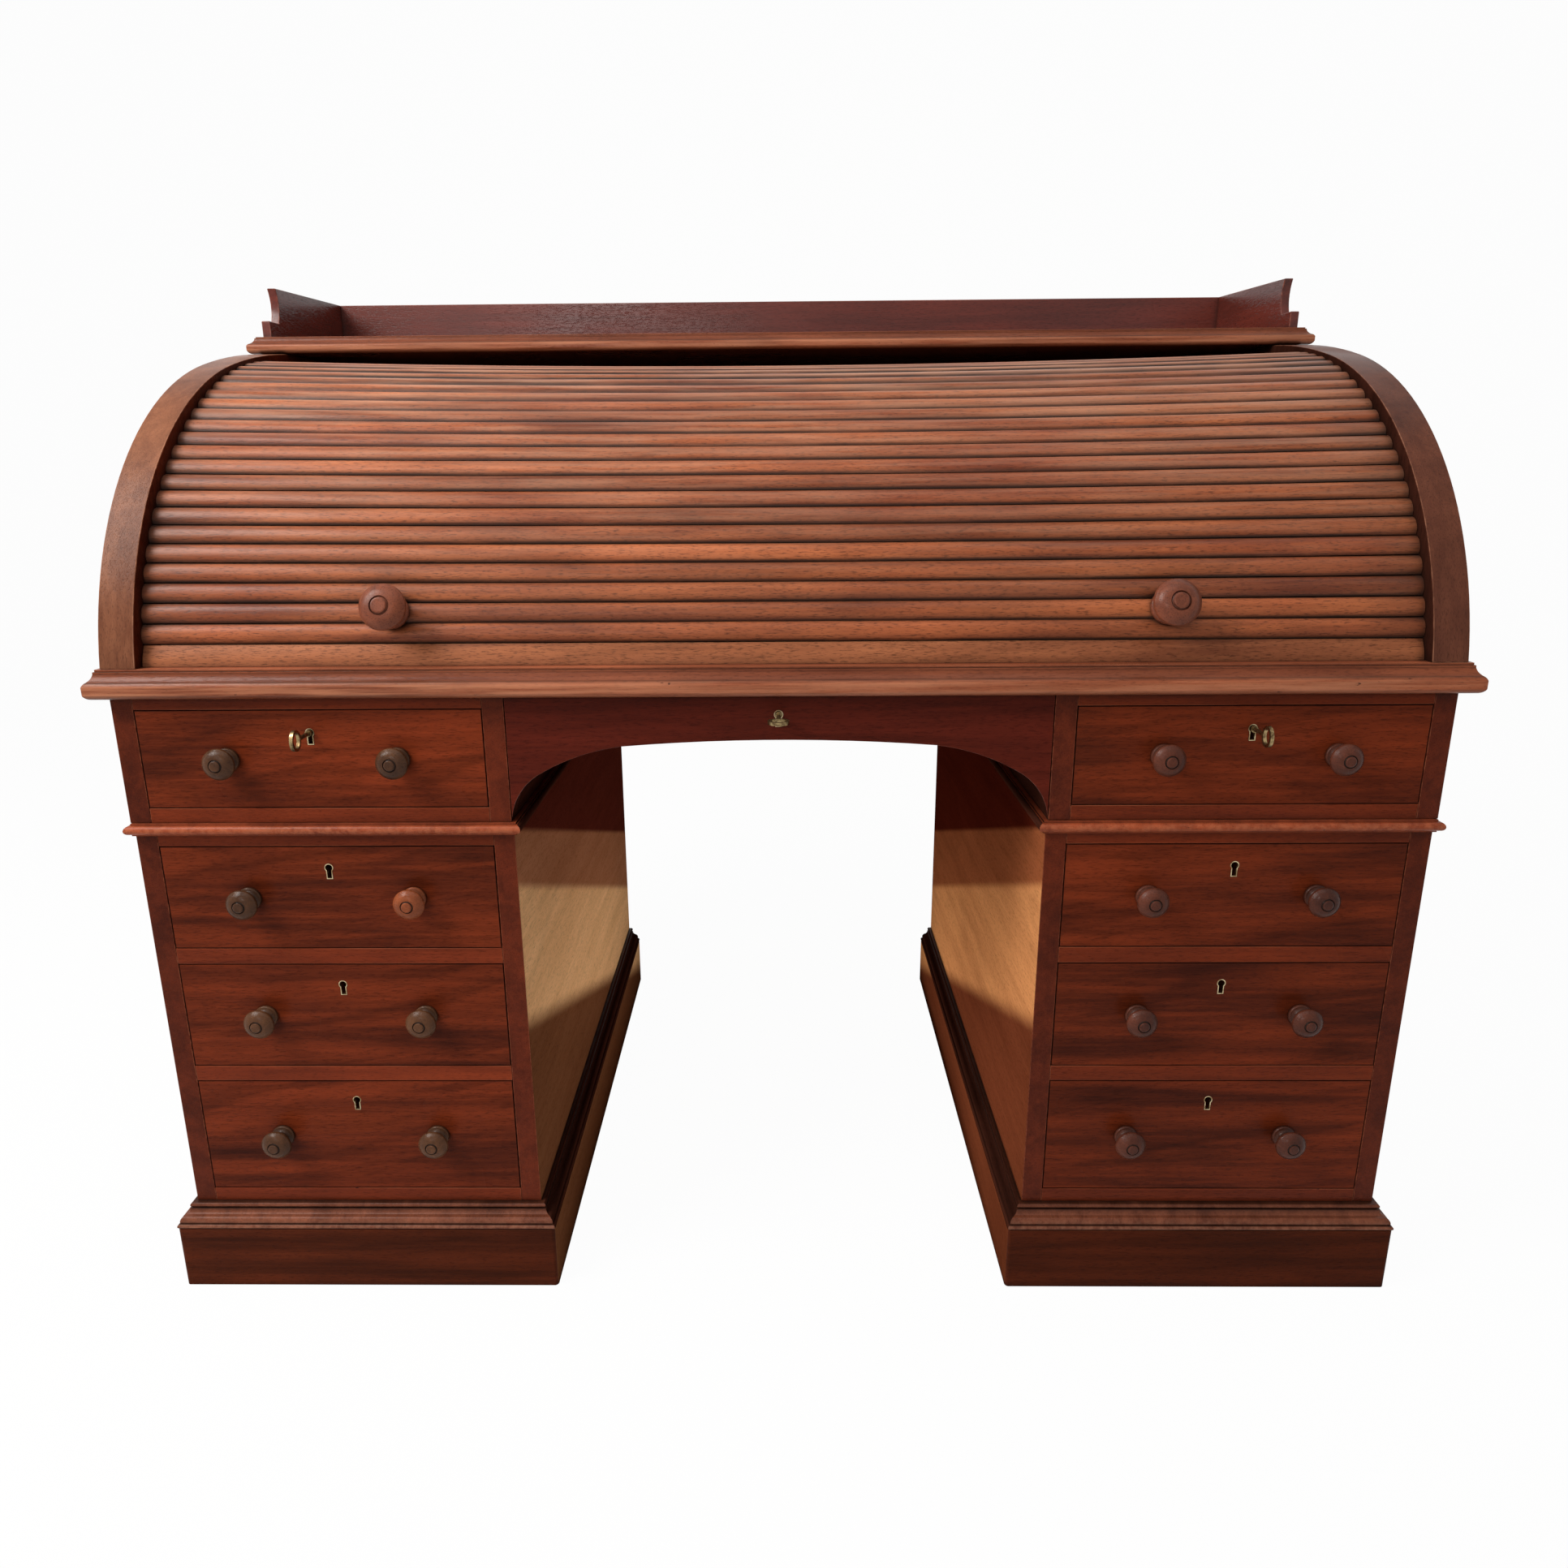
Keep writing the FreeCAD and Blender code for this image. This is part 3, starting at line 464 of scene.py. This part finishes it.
front_shades = {"left_frieze": 0.9, "left_middle": 0.0, "right_top": 0.5, "right_middle": 0.6}
drawer_stems = [name[:-len("_front")] for name in frame["nodes"] if name.endswith("_front")]
for stem in drawer_stems:
    worked(stem + "_front", flame_mahogany, arris=0.0007, along="x", shade=front_shades.get(stem, 0.35))
    worked(stem + "_box", lining_oak, arris=0.0008)
    worked(stem + "_lock", lock_brass)
    knobs = worked(stem + "_knobs", knob_finishes[stem.split("_")[0]], along="y")
    knob_painted_shade(knobs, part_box(stem + "_front")[0].y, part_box(stem + "_knobs"))
    if stem == "left_top":
        knobs.data.materials.append(knob_finishes["new"])
        front_middle = sum(corner.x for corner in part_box(stem + "_front")) / 2
        for face in knobs.data.polygons:
            face.material_index = 1 if face.center.x > front_middle else 0

# Desk top: one wide mahogany board with a moulded nose on the front and both ends, and a sheet
# of leather glued flat in a shallow recess behind the roll.


def nosed(node):
    """A board with a moulded nose: a round below, a hollow over it and a fillet at the top."""
    # Lighter colours than the case timber: painted light, where light falls on the nose from above.
    material = polished(node + "_mahogany", (172, 96, 64), (108, 52, 33), (200, 134, 100), wear=0.55,
                        grime_and_shade=1.0)
    quirked(material, node, (
        (0.0, 0.45), (0.06, 0.75), (0.2, 1.0), (0.48, 1.0), (0.55, 0.7), (0.585, 0.35), (0.62, 0.65),
        (0.8, 0.75), (0.87, 0.5), (0.895, 0.95), (0.925, 0.35), (0.945, 0.9), (0.985, 0.85), (1.0, 1.0)))
    worked(node, material, arris=0.0007, proud=0.005)


nosed("desk_top")


def desk_leather_finish():
    material, tree, shader = open_finish("desk_leather")
    place = wire(tree, "ShaderNodeTexCoord").outputs["Object"]
    pebble = wire(tree, "ShaderNodeTexVoronoi", {"Vector": place, "Scale": 620.0},
                  feature="DISTANCE_TO_EDGE").outputs["Distance"]
    cells = ease(tree, pebble, 0.0, 0.16)
    worn = ease(tree, streaks(tree, place, (5.0, 5.0, 5.0), 4.0), 0.36, 0.66)
    hide = tint(tree, worn, chart(84, 42, 27), chart(98, 53, 34))
    creases = reckon(tree, "MULTIPLY", reckon(tree, "SUBTRACT", 1.0, cells), 0.35)
    hide = tint(tree, creases, hide, chart(52, 26, 17))
    tree.links.new(hide, shader.inputs["Base Color"])
    tree.links.new(ease(tree, worn, 0.0, 1.0, 0.42, 0.6), shader.inputs["Roughness"])
    bump = wire(tree, "ShaderNodeBump", {"Height": cells, "Strength": 0.4, "Distance": 0.0003})
    tree.links.new(bump.outputs[0], shader.inputs["Normal"])
    return material


leather_low, leather_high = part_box("writing_leather")
leather_form = bmesh.new()
bmesh.ops.create_grid(leather_form, x_segments=48, y_segments=14, size=0.5)
leather_size = leather_high - leather_low
leather_middle = (leather_low + leather_high) / 2
for vert in leather_form.verts:
    vert.co = Vector((leather_middle.x + vert.co.x * leather_size.x,
                      leather_middle.y + vert.co.y * leather_size.y, leather_low.z))
leather = set_down("writing_leather.finished", leather_form, desk_leather_finish())
thickened = leather.modifiers.new("hide", "SOLIDIFY")
thickened.thickness = leather_size.z
thickened.offset = 1.0
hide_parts("writing_leather")
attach(leather, "case")

# Cheeks: two thick mahogany boards cut to the roll's curve, screwed up through the desk top,
# with a groove in each for the tongues of the slats.
# The right cheek's colours are darker than the left's: painted shade, as the light falls from the left.
for cheek, light, dark in (("left_cheek", (138, 88, 62), (98, 57, 39)),
                           ("right_cheek", (108, 63, 46), (77, 42, 31))):
    cheek_mahogany = polished(cheek + "_mahogany", light, dark, (170, 118, 90), figure=0.25,
                              rough=(0.3, 0.46), gloss=0.08)
    # The right cheek's recess is painted in shade.
    recess = case_mahogany if cheek == "left_cheek" else painted_shade_mahogany
    refaced(worked(cheek, cheek_mahogany, arris=0.0012, along="z"), [recess], reach=0.6)

# Roll: crowned mahogany slats glued side by side on canvas, paler towards the upper rows, sagging a
# little between the grooves that carry their tongues. A deeper bottom rail takes the lock's bolt, and
# two large turned knobs lift it.
roll = next(joint for joint in frame["joints"] if joint["name"] == "tambour_roll")
roll_axis = Vector(roll["pos_m"])
slat_count = 26
slat_gap = 0.0004
slat_crown = 0.0045
slat_thickness = 0.012
tongue_inset = 0.0005
tongue_thickness = 0.006
slat_sag = 0.013
sag_growth = 0.7
slat_lift = 0.012
lift_rise = (0.35, 1.0)
lift_fall = (0.86, 1.0)
shoulder_clearance = 0.0012
joint_gap = 0.0014
slat_seed = 7


def roll_places(node):
    """Each vertex's distance from the roll's axis, and its angle above the front."""
    offsets = [vert.co - roll_axis for vert in frame["nodes"][node].data.vertices]
    return [(math.hypot(o.y, o.z), math.atan2(o.z, -o.y)) for o in offsets]


slat_places = roll_places("tambour_slats")
slat_radius = max(radius for radius, angle in slat_places)
first_angle = min(angle for radius, angle in slat_places)
last_angle = max(angle for radius, angle in slat_places)
slat_pitch = (last_angle - first_angle + slat_gap / slat_radius) / slat_count
slat_low, slat_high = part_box("tambour_slats")
cheek_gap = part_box("right_cheek")[0].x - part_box("left_cheek")[1].x

slat_tree = bpy.data.node_groups.new("slat_roll", "GeometryNodeTree")
slat_sockets = {}
for label, kind in (("Count", "Int"), ("Length", "Float"), ("Tongue Length", "Float"), ("Width", "Float"),
                    ("Edge", "Float"), ("Crown", "Float"), ("Tongue", "Float"), ("Tongue Inset", "Float"),
                    ("Radius", "Float"), ("First Angle", "Float"), ("Pitch", "Float"), ("Sag", "Float"),
                    ("Lift", "Float"), ("Axis", "Vector"), ("Seed", "Int"), ("Finish", "Material")):
    slat_sockets[label] = slat_tree.interface.new_socket(label, in_out="INPUT",
                                                         socket_type="NodeSocket" + kind)
slat_tree.interface.new_socket("Geometry", in_out="OUTPUT", socket_type="NodeSocketGeometry")
size = wire(slat_tree, "NodeGroupInput").outputs


def vector(tree, x, y, z):
    return wire(tree, "ShaderNodeCombineXYZ", {0: x, 1: y, 2: z}).outputs[0]


def kept(tree, geometry, name, value, kind="FLOAT", domain="POINT"):
    """A value stored on the geometry under a name."""
    stored = wire(tree, "GeometryNodeStoreNamedAttribute", {"Geometry": geometry, "Name": name},
                  data_type=kind, domain=domain)
    tree.links.new(value, stored.inputs["Value"])
    return stored.outputs[0]


def recalled(tree, name, kind="FLOAT"):
    """A value read back from the geometry by its name."""
    return wire(tree, "GeometryNodeInputNamedAttribute", {"Name": name}, data_type=kind).outputs[0]


slat_bar = wire(slat_tree, "GeometryNodeMeshCube", {
    "Size": vector(slat_tree, size["Length"], size["Width"], size["Edge"]),
    "Vertices X": 41, "Vertices Y": 17, "Vertices Z": 2}).outputs["Mesh"]
here = wire(slat_tree, "GeometryNodeInputPosition").outputs[0]
spot = wire(slat_tree, "ShaderNodeSeparateXYZ", {0: here}).outputs
across = reckon(slat_tree, "DIVIDE", spot["Y"], reckon(slat_tree, "MULTIPLY", size["Width"], 0.5))
fall = reckon(slat_tree, "POWER", reckon(slat_tree, "ABSOLUTE", across), 2.5)
rise = reckon(slat_tree, "MULTIPLY", reckon(slat_tree, "SUBTRACT", 1.0, fall), size["Crown"])
rise = reckon(slat_tree, "MULTIPLY", rise, reckon(slat_tree, "GREATER_THAN", spot["Z"], 0.0))
edge_radius = reckon(slat_tree, "SUBTRACT", size["Radius"], size["Crown"])
bar_lift = reckon(slat_tree, "SUBTRACT", edge_radius, reckon(slat_tree, "MULTIPLY", size["Edge"], 0.5))
bar_lift = reckon(slat_tree, "ADD", rise, bar_lift)
slat_bar = wire(slat_tree, "GeometryNodeSetPosition", {
    "Geometry": slat_bar, "Offset": vector(slat_tree, 0.0, 0.0, bar_lift)}).outputs[0]
tongue_lift = reckon(slat_tree, "SUBTRACT", edge_radius, size["Edge"])
tongue_lift = reckon(slat_tree, "ADD", tongue_lift, size["Tongue Inset"])
tongue_lift = reckon(slat_tree, "ADD", tongue_lift, reckon(slat_tree, "MULTIPLY", size["Tongue"], 0.5))
tongue_bar = wire(slat_tree, "GeometryNodeMeshCube", {
    "Size": vector(slat_tree, size["Tongue Length"], size["Width"], size["Tongue"]),
    "Vertices X": 41, "Vertices Y": 2, "Vertices Z": 2}).outputs["Mesh"]
tongue_bar = wire(slat_tree, "GeometryNodeSetPosition", {
    "Geometry": tongue_bar, "Offset": vector(slat_tree, 0.0, 0.0, tongue_lift)}).outputs[0]
one_slat = wire(slat_tree, "GeometryNodeJoinGeometry")
slat_tree.links.new(tongue_bar, one_slat.inputs[0])
slat_tree.links.new(slat_bar, one_slat.inputs[0])
laid = wire(slat_tree, "GeometryNodeInputPosition").outputs[0]
one_slat = kept(slat_tree, one_slat.outputs[0], "timber", laid, "FLOAT_VECTOR")
# Dirt and painted shade along both edges of each slat, most at its lower edge, and near its ends.
by_edge = reckon(slat_tree, "MAXIMUM", ease(slat_tree, across, 0.87, 1.0, 0.0, 0.95),
                 ease(slat_tree, across, -0.68, -0.97, 0.0, 1.0))
end_reach = reckon(slat_tree, "MULTIPLY", size["Length"], 0.5)
from_end = reckon(slat_tree, "SUBTRACT", end_reach, reckon(slat_tree, "ABSOLUTE", spot["X"]))
by_end = ease(slat_tree, from_end, 0.075, 0.0)
end_depth = reckon(slat_tree, "ADD", 0.35, reckon(slat_tree, "MULTIPLY", fall, 0.6))
by_end = reckon(slat_tree, "MULTIPLY", by_end, end_depth)
one_slat = kept(slat_tree, one_slat, "soil_and_shade", reckon(slat_tree, "MAXIMUM", by_edge, by_end))
one_slat = kept(slat_tree, one_slat, "under", ease(slat_tree, across, -0.2, -0.85))
rows = wire(slat_tree, "GeometryNodeMeshLine", {"Count": size["Count"], "Start Location": size["Axis"],
                                                "Offset": (0.0, 0.0, 0.0)}).outputs[0]
row = wire(slat_tree, "GeometryNodeInputIndex").outputs[0]
row_angle = reckon(slat_tree, "MULTIPLY", reckon(slat_tree, "ADD", row, 0.5), size["Pitch"])
row_angle = reckon(slat_tree, "ADD", row_angle, size["First Angle"])
row_turn = reckon(slat_tree, "SUBTRACT", math.pi / 2, row_angle)
slats = wire(slat_tree, "GeometryNodeInstanceOnPoints", {
    "Points": rows, "Instance": one_slat, "Rotation": vector(slat_tree, row_turn, 0.0, 0.0)}).outputs[0]
slats = kept(slat_tree, slats, "row", reckon(slat_tree, "DIVIDE", row, size["Count"]), domain="INSTANCE")
shade = wire(slat_tree, "FunctionNodeRandomValue", {"Seed": size["Seed"]}, data_type="FLOAT").outputs[1]
slats = kept(slat_tree, slats, "tone", shade, domain="INSTANCE")
# The wear colour grows up the rows, so that the upper rows are paler.
row_paling = reckon(slat_tree, "MULTIPLY", reckon(slat_tree, "DIVIDE", row, size["Count"]), 0.72)
slats = kept(slat_tree, slats, "arris", row_paling, domain="INSTANCE")
slats = wire(slat_tree, "GeometryNodeRealizeInstances", {0: slats}).outputs[0]
here = wire(slat_tree, "GeometryNodeInputPosition").outputs[0]
spot = wire(slat_tree, "ShaderNodeSeparateXYZ", {0: here}).outputs
half_out = reckon(slat_tree, "DIVIDE", spot["X"], reckon(slat_tree, "MULTIPLY", size["Length"], 0.5))
bow = reckon(slat_tree, "SUBTRACT", 1.0, reckon(slat_tree, "MULTIPLY", half_out, half_out))
row_kept = recalled(slat_tree, "row")
drop = reckon(slat_tree, "MULTIPLY", reckon(slat_tree, "POWER", row_kept, sag_growth), size["Sag"])
drop = reckon(slat_tree, "MULTIPLY", reckon(slat_tree, "MAXIMUM", bow, 0.0), drop)
axis = wire(slat_tree, "ShaderNodeSeparateXYZ", {0: size["Axis"]}).outputs
around = reckon(slat_tree, "ARCTAN2", reckon(slat_tree, "SUBTRACT", spot["Z"], axis["Z"]),
                reckon(slat_tree, "SUBTRACT", axis["Y"], spot["Y"]))
around = reckon(slat_tree, "SUBTRACT", around, size["First Angle"])
around = reckon(slat_tree, "DIVIDE", around, reckon(slat_tree, "MULTIPLY", size["Pitch"], size["Count"]))
climb = reckon(slat_tree, "MULTIPLY", ease(slat_tree, around, *lift_rise),
               ease(slat_tree, around, *lift_fall, 1.0, 0.0))
climb = reckon(slat_tree, "MULTIPLY", climb, size["Lift"])
climb = reckon(slat_tree, "SUBTRACT", climb, drop)
slats = wire(slat_tree, "GeometryNodeSetPosition", {
    "Geometry": slats, "Offset": vector(slat_tree, 0.0, 0.0, climb)}).outputs[0]
# Painted shade along the lower edge of each slat, stronger on the upper rows.
under = recalled(slat_tree, "under")
shadowed = reckon(slat_tree, "MULTIPLY", under, ease(slat_tree, row_kept, 0.4, 0.8, 0.0, 1.3))
soil_and_shade_kept = recalled(slat_tree, "soil_and_shade")
slats = kept(slat_tree, slats, "soil_and_shade", reckon(slat_tree, "MAXIMUM", soil_and_shade_kept, shadowed))
laid = recalled(slat_tree, "timber", "FLOAT_VECTOR")
other_log = reckon(slat_tree, "MULTIPLY", row_kept, 47.0)
laid = wire(slat_tree, "ShaderNodeVectorMath", {0: laid, 1: vector(slat_tree, other_log, other_log, 0.0)},
            operation="ADD").outputs[0]
slats = kept(slat_tree, slats, "timber", laid, "FLOAT_VECTOR")
bend = wire(slat_tree, "GeometryNodeInputMeshEdgeAngle").outputs["Unsigned Angle"]
slats = wire(slat_tree, "GeometryNodeSetShadeSmooth", {"Geometry": slats, "Shade Smooth": True}).outputs[0]
slats = wire(slat_tree, "GeometryNodeSetShadeSmooth", {
    "Geometry": slats, "Shade Smooth": False,
    "Selection": reckon(slat_tree, "GREATER_THAN", bend, math.radians(30))}, domain="EDGE").outputs[0]
slats = wire(slat_tree, "GeometryNodeSetMaterial", {"Geometry": slats, "Material": size["Finish"]}).outputs[0]
wire(slat_tree, "NodeGroupOutput", {0: slats})

slat_mahogany = polished("slat_mahogany", (184, 104, 62), (108, 52, 30), (208, 158, 128), figure=0.4,
                         slant=3.0, wear=1.0, grime_and_shade=1.0, grit=0.65, rough=(0.36, 0.48), gloss=0.2)


def stained(material, colour, per_metre):
    """Old stains in cloudy patches that run across the boards."""
    tree = material.node_tree
    finish = tree.nodes["Principled BSDF"].inputs["Base Color"]
    clean = finish.links[0].from_socket
    place = wire(tree, "ShaderNodeTexCoord").outputs["Object"]
    cloud = ease(tree, streaks(tree, place, per_metre, 4.0, 0.5), 0.42, 0.72)
    tree.links.new(tint(tree, cloud, clean, tint(tree, 1.0, clean, chart(*colour), "MULTIPLY")), finish)


stained(slat_mahogany, (228, 210, 206), (2.4, 7.0, 10.0))
slat_holder = bpy.data.objects.new("slat_holder", bpy.data.meshes.new("slat_holder"))
bpy.context.scene.collection.objects.link(slat_holder)
slat_maker = slat_holder.modifiers.new("slats", "NODES")
slat_maker.node_group = slat_tree
for label, value in (("Count", slat_count), ("Length", cheek_gap - shoulder_clearance),
                     ("Tongue Length", slat_high.x - slat_low.x),
                     ("Width", slat_pitch * (slat_radius - slat_crown) - joint_gap),
                     ("Edge", slat_thickness - slat_crown), ("Crown", slat_crown),
                     ("Tongue", tongue_thickness), ("Tongue Inset", tongue_inset),
                     ("Radius", slat_radius), ("First Angle", first_angle), ("Pitch", slat_pitch),
                     ("Sag", slat_sag), ("Lift", slat_lift), ("Axis", roll_axis), ("Seed", slat_seed),
                     ("Finish", slat_mahogany)):
    slat_maker[slat_sockets[label].identifier] = value
slat_shape = slat_holder.evaluated_get(bpy.context.evaluated_depsgraph_get())
slat_mesh = bpy.data.meshes.new_from_object(slat_shape)
bpy.data.objects.remove(slat_holder)
slat_piece = bpy.data.objects.new("tambour_slats.finished", slat_mesh)
bpy.context.scene.collection.objects.link(slat_piece)
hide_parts("tambour_slats")
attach(slat_piece, "tambour")


def canvas_finish():
    material, tree, shader = open_finish("canvas")
    place = wire(tree, "ShaderNodeAttribute", attribute_name="cloth").outputs["Vector"]
    warp = wire(tree, "ShaderNodeTexWave", {"Vector": place, "Scale": 160.0, "Distortion": 0.6},
                bands_direction="X").outputs["Fac"]
    weft = wire(tree, "ShaderNodeTexWave", {"Vector": place, "Scale": 160.0, "Distortion": 0.6},
                bands_direction="Y").outputs["Fac"]
    weave = reckon(tree, "MULTIPLY", warp, weft)
    aged = ease(tree, streaks(tree, place, (6.0, 6.0, 6.0), 4.0), 0.3, 0.7)
    thread = tint(tree, aged, chart(140, 108, 76), chart(170, 138, 102))
    thread = tint(tree, reckon(tree, "MULTIPLY", weave, 0.45), thread, chart(108, 86, 62))
    tree.links.new(thread, shader.inputs["Base Color"])
    bump = wire(tree, "ShaderNodeBump", {"Height": weave, "Strength": 0.5, "Distance": 0.0004})
    tree.links.new(bump.outputs[0], shader.inputs["Normal"])
    shader.inputs["Roughness"].default_value = 0.9
    return material


def smooth(value, ends):
    part = min(1.0, max(0.0, (value - ends[0]) / (ends[1] - ends[0])))
    return part ** 2 * (3 - 2 * part)


canvas_places = roll_places("tambour_canvas")
canvas_low, canvas_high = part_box("tambour_canvas")
canvas_radius = max(radius for radius, angle in canvas_places)
canvas_inner = min(radius for radius, angle in canvas_places)
canvas_angles = (min(angle for radius, angle in canvas_places),
                 max(angle for radius, angle in canvas_places))
canvas_form = bmesh.new()
canvas_columns = 24
canvas_rows = 72
canvas_cloth = 0.0009
bmesh.ops.create_grid(canvas_form, x_segments=canvas_columns, y_segments=canvas_rows, size=0.5)
cloth = canvas_form.verts.layers.float_vector.new("cloth")
for vert in canvas_form.verts:
    x = vert.co.x * (canvas_high.x - canvas_low.x)
    angle = canvas_angles[0] + (vert.co.y + 0.5) * (canvas_angles[1] - canvas_angles[0])
    row_share = max(0.0, (angle - first_angle) / (slat_pitch * slat_count))
    sag = slat_sag * row_share ** sag_growth * (1 - (2 * x / cheek_gap) ** 2)
    sag -= slat_lift * smooth(row_share, lift_rise) * (1 - smooth(row_share, lift_fall))
    vert[cloth] = Vector((x, angle * canvas_radius, 0.0))
    vert.co = Vector((x, roll_axis.y - canvas_inner * math.cos(angle),
                      roll_axis.z + canvas_inner * math.sin(angle) - sag))
for face in canvas_form.faces:
    face.smooth = True
bmesh.ops.recalc_face_normals(canvas_form, faces=canvas_form.faces)
canvas = set_down("tambour_canvas.finished", canvas_form, canvas_finish())
canvas_wall = canvas.modifiers.new("cloth", "SOLIDIFY")
canvas_wall.thickness = canvas_cloth
canvas_wall.offset = 1.0
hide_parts("tambour_canvas")
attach(canvas, "tambour")

rail_mahogany = polished("rail_mahogany", (170, 104, 68), (110, 60, 38), (180, 124, 94), figure=0.35,
                         grime_and_shade=0.9, grit=0.65, rough=(0.34, 0.46), gloss=0.1)
worked("tambour_bottom_rail", rail_mahogany)
roll_knob_mahogany = polished("roll_knob_mahogany", (142, 77, 52), (100, 52, 36), (196, 140, 112),
                              figure=0.15, grime_and_shade=0.9, grit=0.6, rough=(0.28, 0.4), gloss=0.18)
worked("tambour_knobs", roll_knob_mahogany, along="y")

# Inside and top: a nest of pigeonholes in thin oak boards, a plain mahogany back behind the roll, a
# top board with the desk top's moulding, and a low gallery of three shaped boards standing on it.
worked("pigeonhole_nest", lining_oak, arris=0.0008)
worked("back_panel", case_mahogany)
nosed("top_board")
gallery_mahogany = polished("gallery_mahogany", (112, 46, 34), (74, 28, 20), (160, 92, 70), figure=0.2,
                            rough=(0.2, 0.3), gloss=0.3)
worked("gallery", gallery_mahogany, arris=0.0012)

# Keys: cast brass, one left in each frieze drawer's lock and one in the apron's. Each has an oval
# bow, and its tip turns in a hole in the lock's back plate.
key_brass = aged_brass("key_brass", (160, 138, 98), (86, 68, 46))
for key in ("left_key", "right_key", "apron_key"):
    worked(key, key_brass)

# Studio: a pale floor that curves up into a pale wall, a soft window lamp at the upper left, a broad
# lamp overhead, a small one in front, the light that the floor throws up into the kneehole, and the
# camera where the photograph was taken from.


def straight_rays(tree):
    """1 where the paper is seen, straight on, in a reflection or through something clear."""
    seen = wire(tree, "ShaderNodeLightPath").outputs
    straight = reckon(tree, "MAXIMUM", seen["Is Camera Ray"], seen["Is Glossy Ray"])
    return reckon(tree, "MAXIMUM", straight, seen["Is Transmission Ray"])


paper_level = 0.97


def backdrop_finish():
    material, tree, shader = open_finish("pale_paper")
    shader.inputs["Base Color"].default_value = (0.82, 0.82, 0.81, 1.0)
    shader.inputs["Roughness"].default_value = 0.9
    shader.inputs["Specular IOR Level"].default_value = 0.0
    glow = wire(tree, "ShaderNodeEmission", {"Color": (1.0, 1.0, 1.0, 1.0), "Strength": 1.0})
    straight = reckon(tree, "MULTIPLY", straight_rays(tree), paper_level)
    mixed = wire(tree, "ShaderNodeMixShader", {0: straight, 1: shader.outputs[0], 2: glow.outputs[0]})
    tree.links.new(mixed.outputs[0], tree.nodes["Material Output"].inputs["Surface"])
    return material


stage_half = 7.0
stage_front = -6.0
stage_back = 5.0
cove_radius = 2.0
cove_steps = 12
wall_height = 7.0
cove_line = [(stage_front, 0.0), (stage_back - cove_radius, 0.0)]
for step in range(1, cove_steps + 1):
    swing = math.radians(90 * step / cove_steps)
    cove_y = stage_back - cove_radius + cove_radius * math.sin(swing)
    cove_line.append((cove_y, cove_radius * (1 - math.cos(swing))))
cove_line.append((stage_back, wall_height))
cove_form = bmesh.new()
left_line = [cove_form.verts.new((-stage_half, y, z)) for y, z in cove_line]
right_line = [cove_form.verts.new((stage_half, y, z)) for y, z in cove_line]
for step in range(len(cove_line) - 1):
    strip = (left_line[step], right_line[step], right_line[step + 1], left_line[step + 1])
    cove_form.faces.new(strip).smooth = True
cove = set_down("paper_cove", cove_form, backdrop_finish())


def soft_lamp(name, place, aim, width, height, watts, colour=(1.0, 1.0, 1.0)):
    lamp = bpy.data.lights.new(name, "AREA")
    lamp.shape = "RECTANGLE"
    lamp.size = width
    lamp.size_y = height
    lamp.energy = watts
    lamp.color = colour
    holder = bpy.data.objects.new(name, lamp)
    holder.location = place
    holder.rotation_euler = (Vector(aim) - Vector(place)).to_track_quat("-Z", "Y").to_euler()
    holder.visible_camera = False
    bpy.context.scene.collection.objects.link(holder)


soft_lamp("window_lamp", (-1.9, -1.2, 2.5), (-0.1, -0.1, 0.8), 1.3, 1.3, 78.0, (1.0, 0.98, 0.95))
soft_lamp("overhead_lamp", (0.0, -1.2, 3.5), (0.0, -0.1, 0.7), 2.6, 2.0, 23.0, (1.0, 0.97, 0.93))
soft_lamp("front_lamp", (-0.9, -3.4, 1.75), (0.0, 0.0, 0.8), 1.0, 0.8, 15.0, (1.0, 0.98, 0.95))
soft_lamp("floor_bounce", (0.06, 0.05, 0.01), (0.06, 0.05, 1.0), 0.36, 0.7, 1.5, (1.0, 0.97, 0.92))

world = bpy.data.worlds.new("room")
world.use_nodes = True
sky = world.node_tree
daylight = sky.nodes["Background"]
daylight.inputs["Color"].default_value = (0.95, 0.97, 1.0, 1.0)
daylight.inputs["Strength"].default_value = 0.2
paper_white = wire(sky, "ShaderNodeBackground", {"Color": (1.0, 1.0, 1.0, 1.0), "Strength": paper_level})
surround = wire(sky, "ShaderNodeMixShader", {
    0: straight_rays(sky), 1: daylight.outputs[0], 2: paper_white.outputs[0]})
sky.links.new(surround.outputs[0], sky.nodes["World Output"].inputs["Surface"])
bpy.context.scene.world = world
bpy.context.scene.view_settings.view_transform = "Standard"

frame_pixels = 1932
focal_pixels = 1296.165
lens_axis = (943.725, 920.0)
camera_place = (0.000916, -1.479198, 0.978779)
pitch_down = math.radians(14.872)
yaw = math.radians(0.767)
roll_turn = math.radians(-0.442)
right = Vector((math.cos(yaw), math.sin(yaw), 0.0))
forward = Vector((-math.sin(yaw) * math.cos(pitch_down), math.cos(yaw) * math.cos(pitch_down),
                  -math.sin(pitch_down)))
up = right.cross(forward)
camera_x = right * math.cos(roll_turn) + up * math.sin(roll_turn)
camera_y = -right * math.sin(roll_turn) + up * math.cos(roll_turn)
lens = bpy.data.cameras.new("photo_camera")
lens.sensor_width = 36.0
lens.lens = lens.sensor_width * focal_pixels / frame_pixels
lens.shift_x = (frame_pixels / 2 - lens_axis[0]) / frame_pixels
lens.shift_y = (lens_axis[1] - frame_pixels / 2) / frame_pixels
camera = bpy.data.objects.new("photo_camera", lens)
camera_turn = Matrix((camera_x, camera_y, -forward)).transposed().to_4x4()
camera.matrix_world = Matrix.Translation(camera_place) @ camera_turn
bpy.context.scene.collection.objects.link(camera)
bpy.context.scene.camera = camera
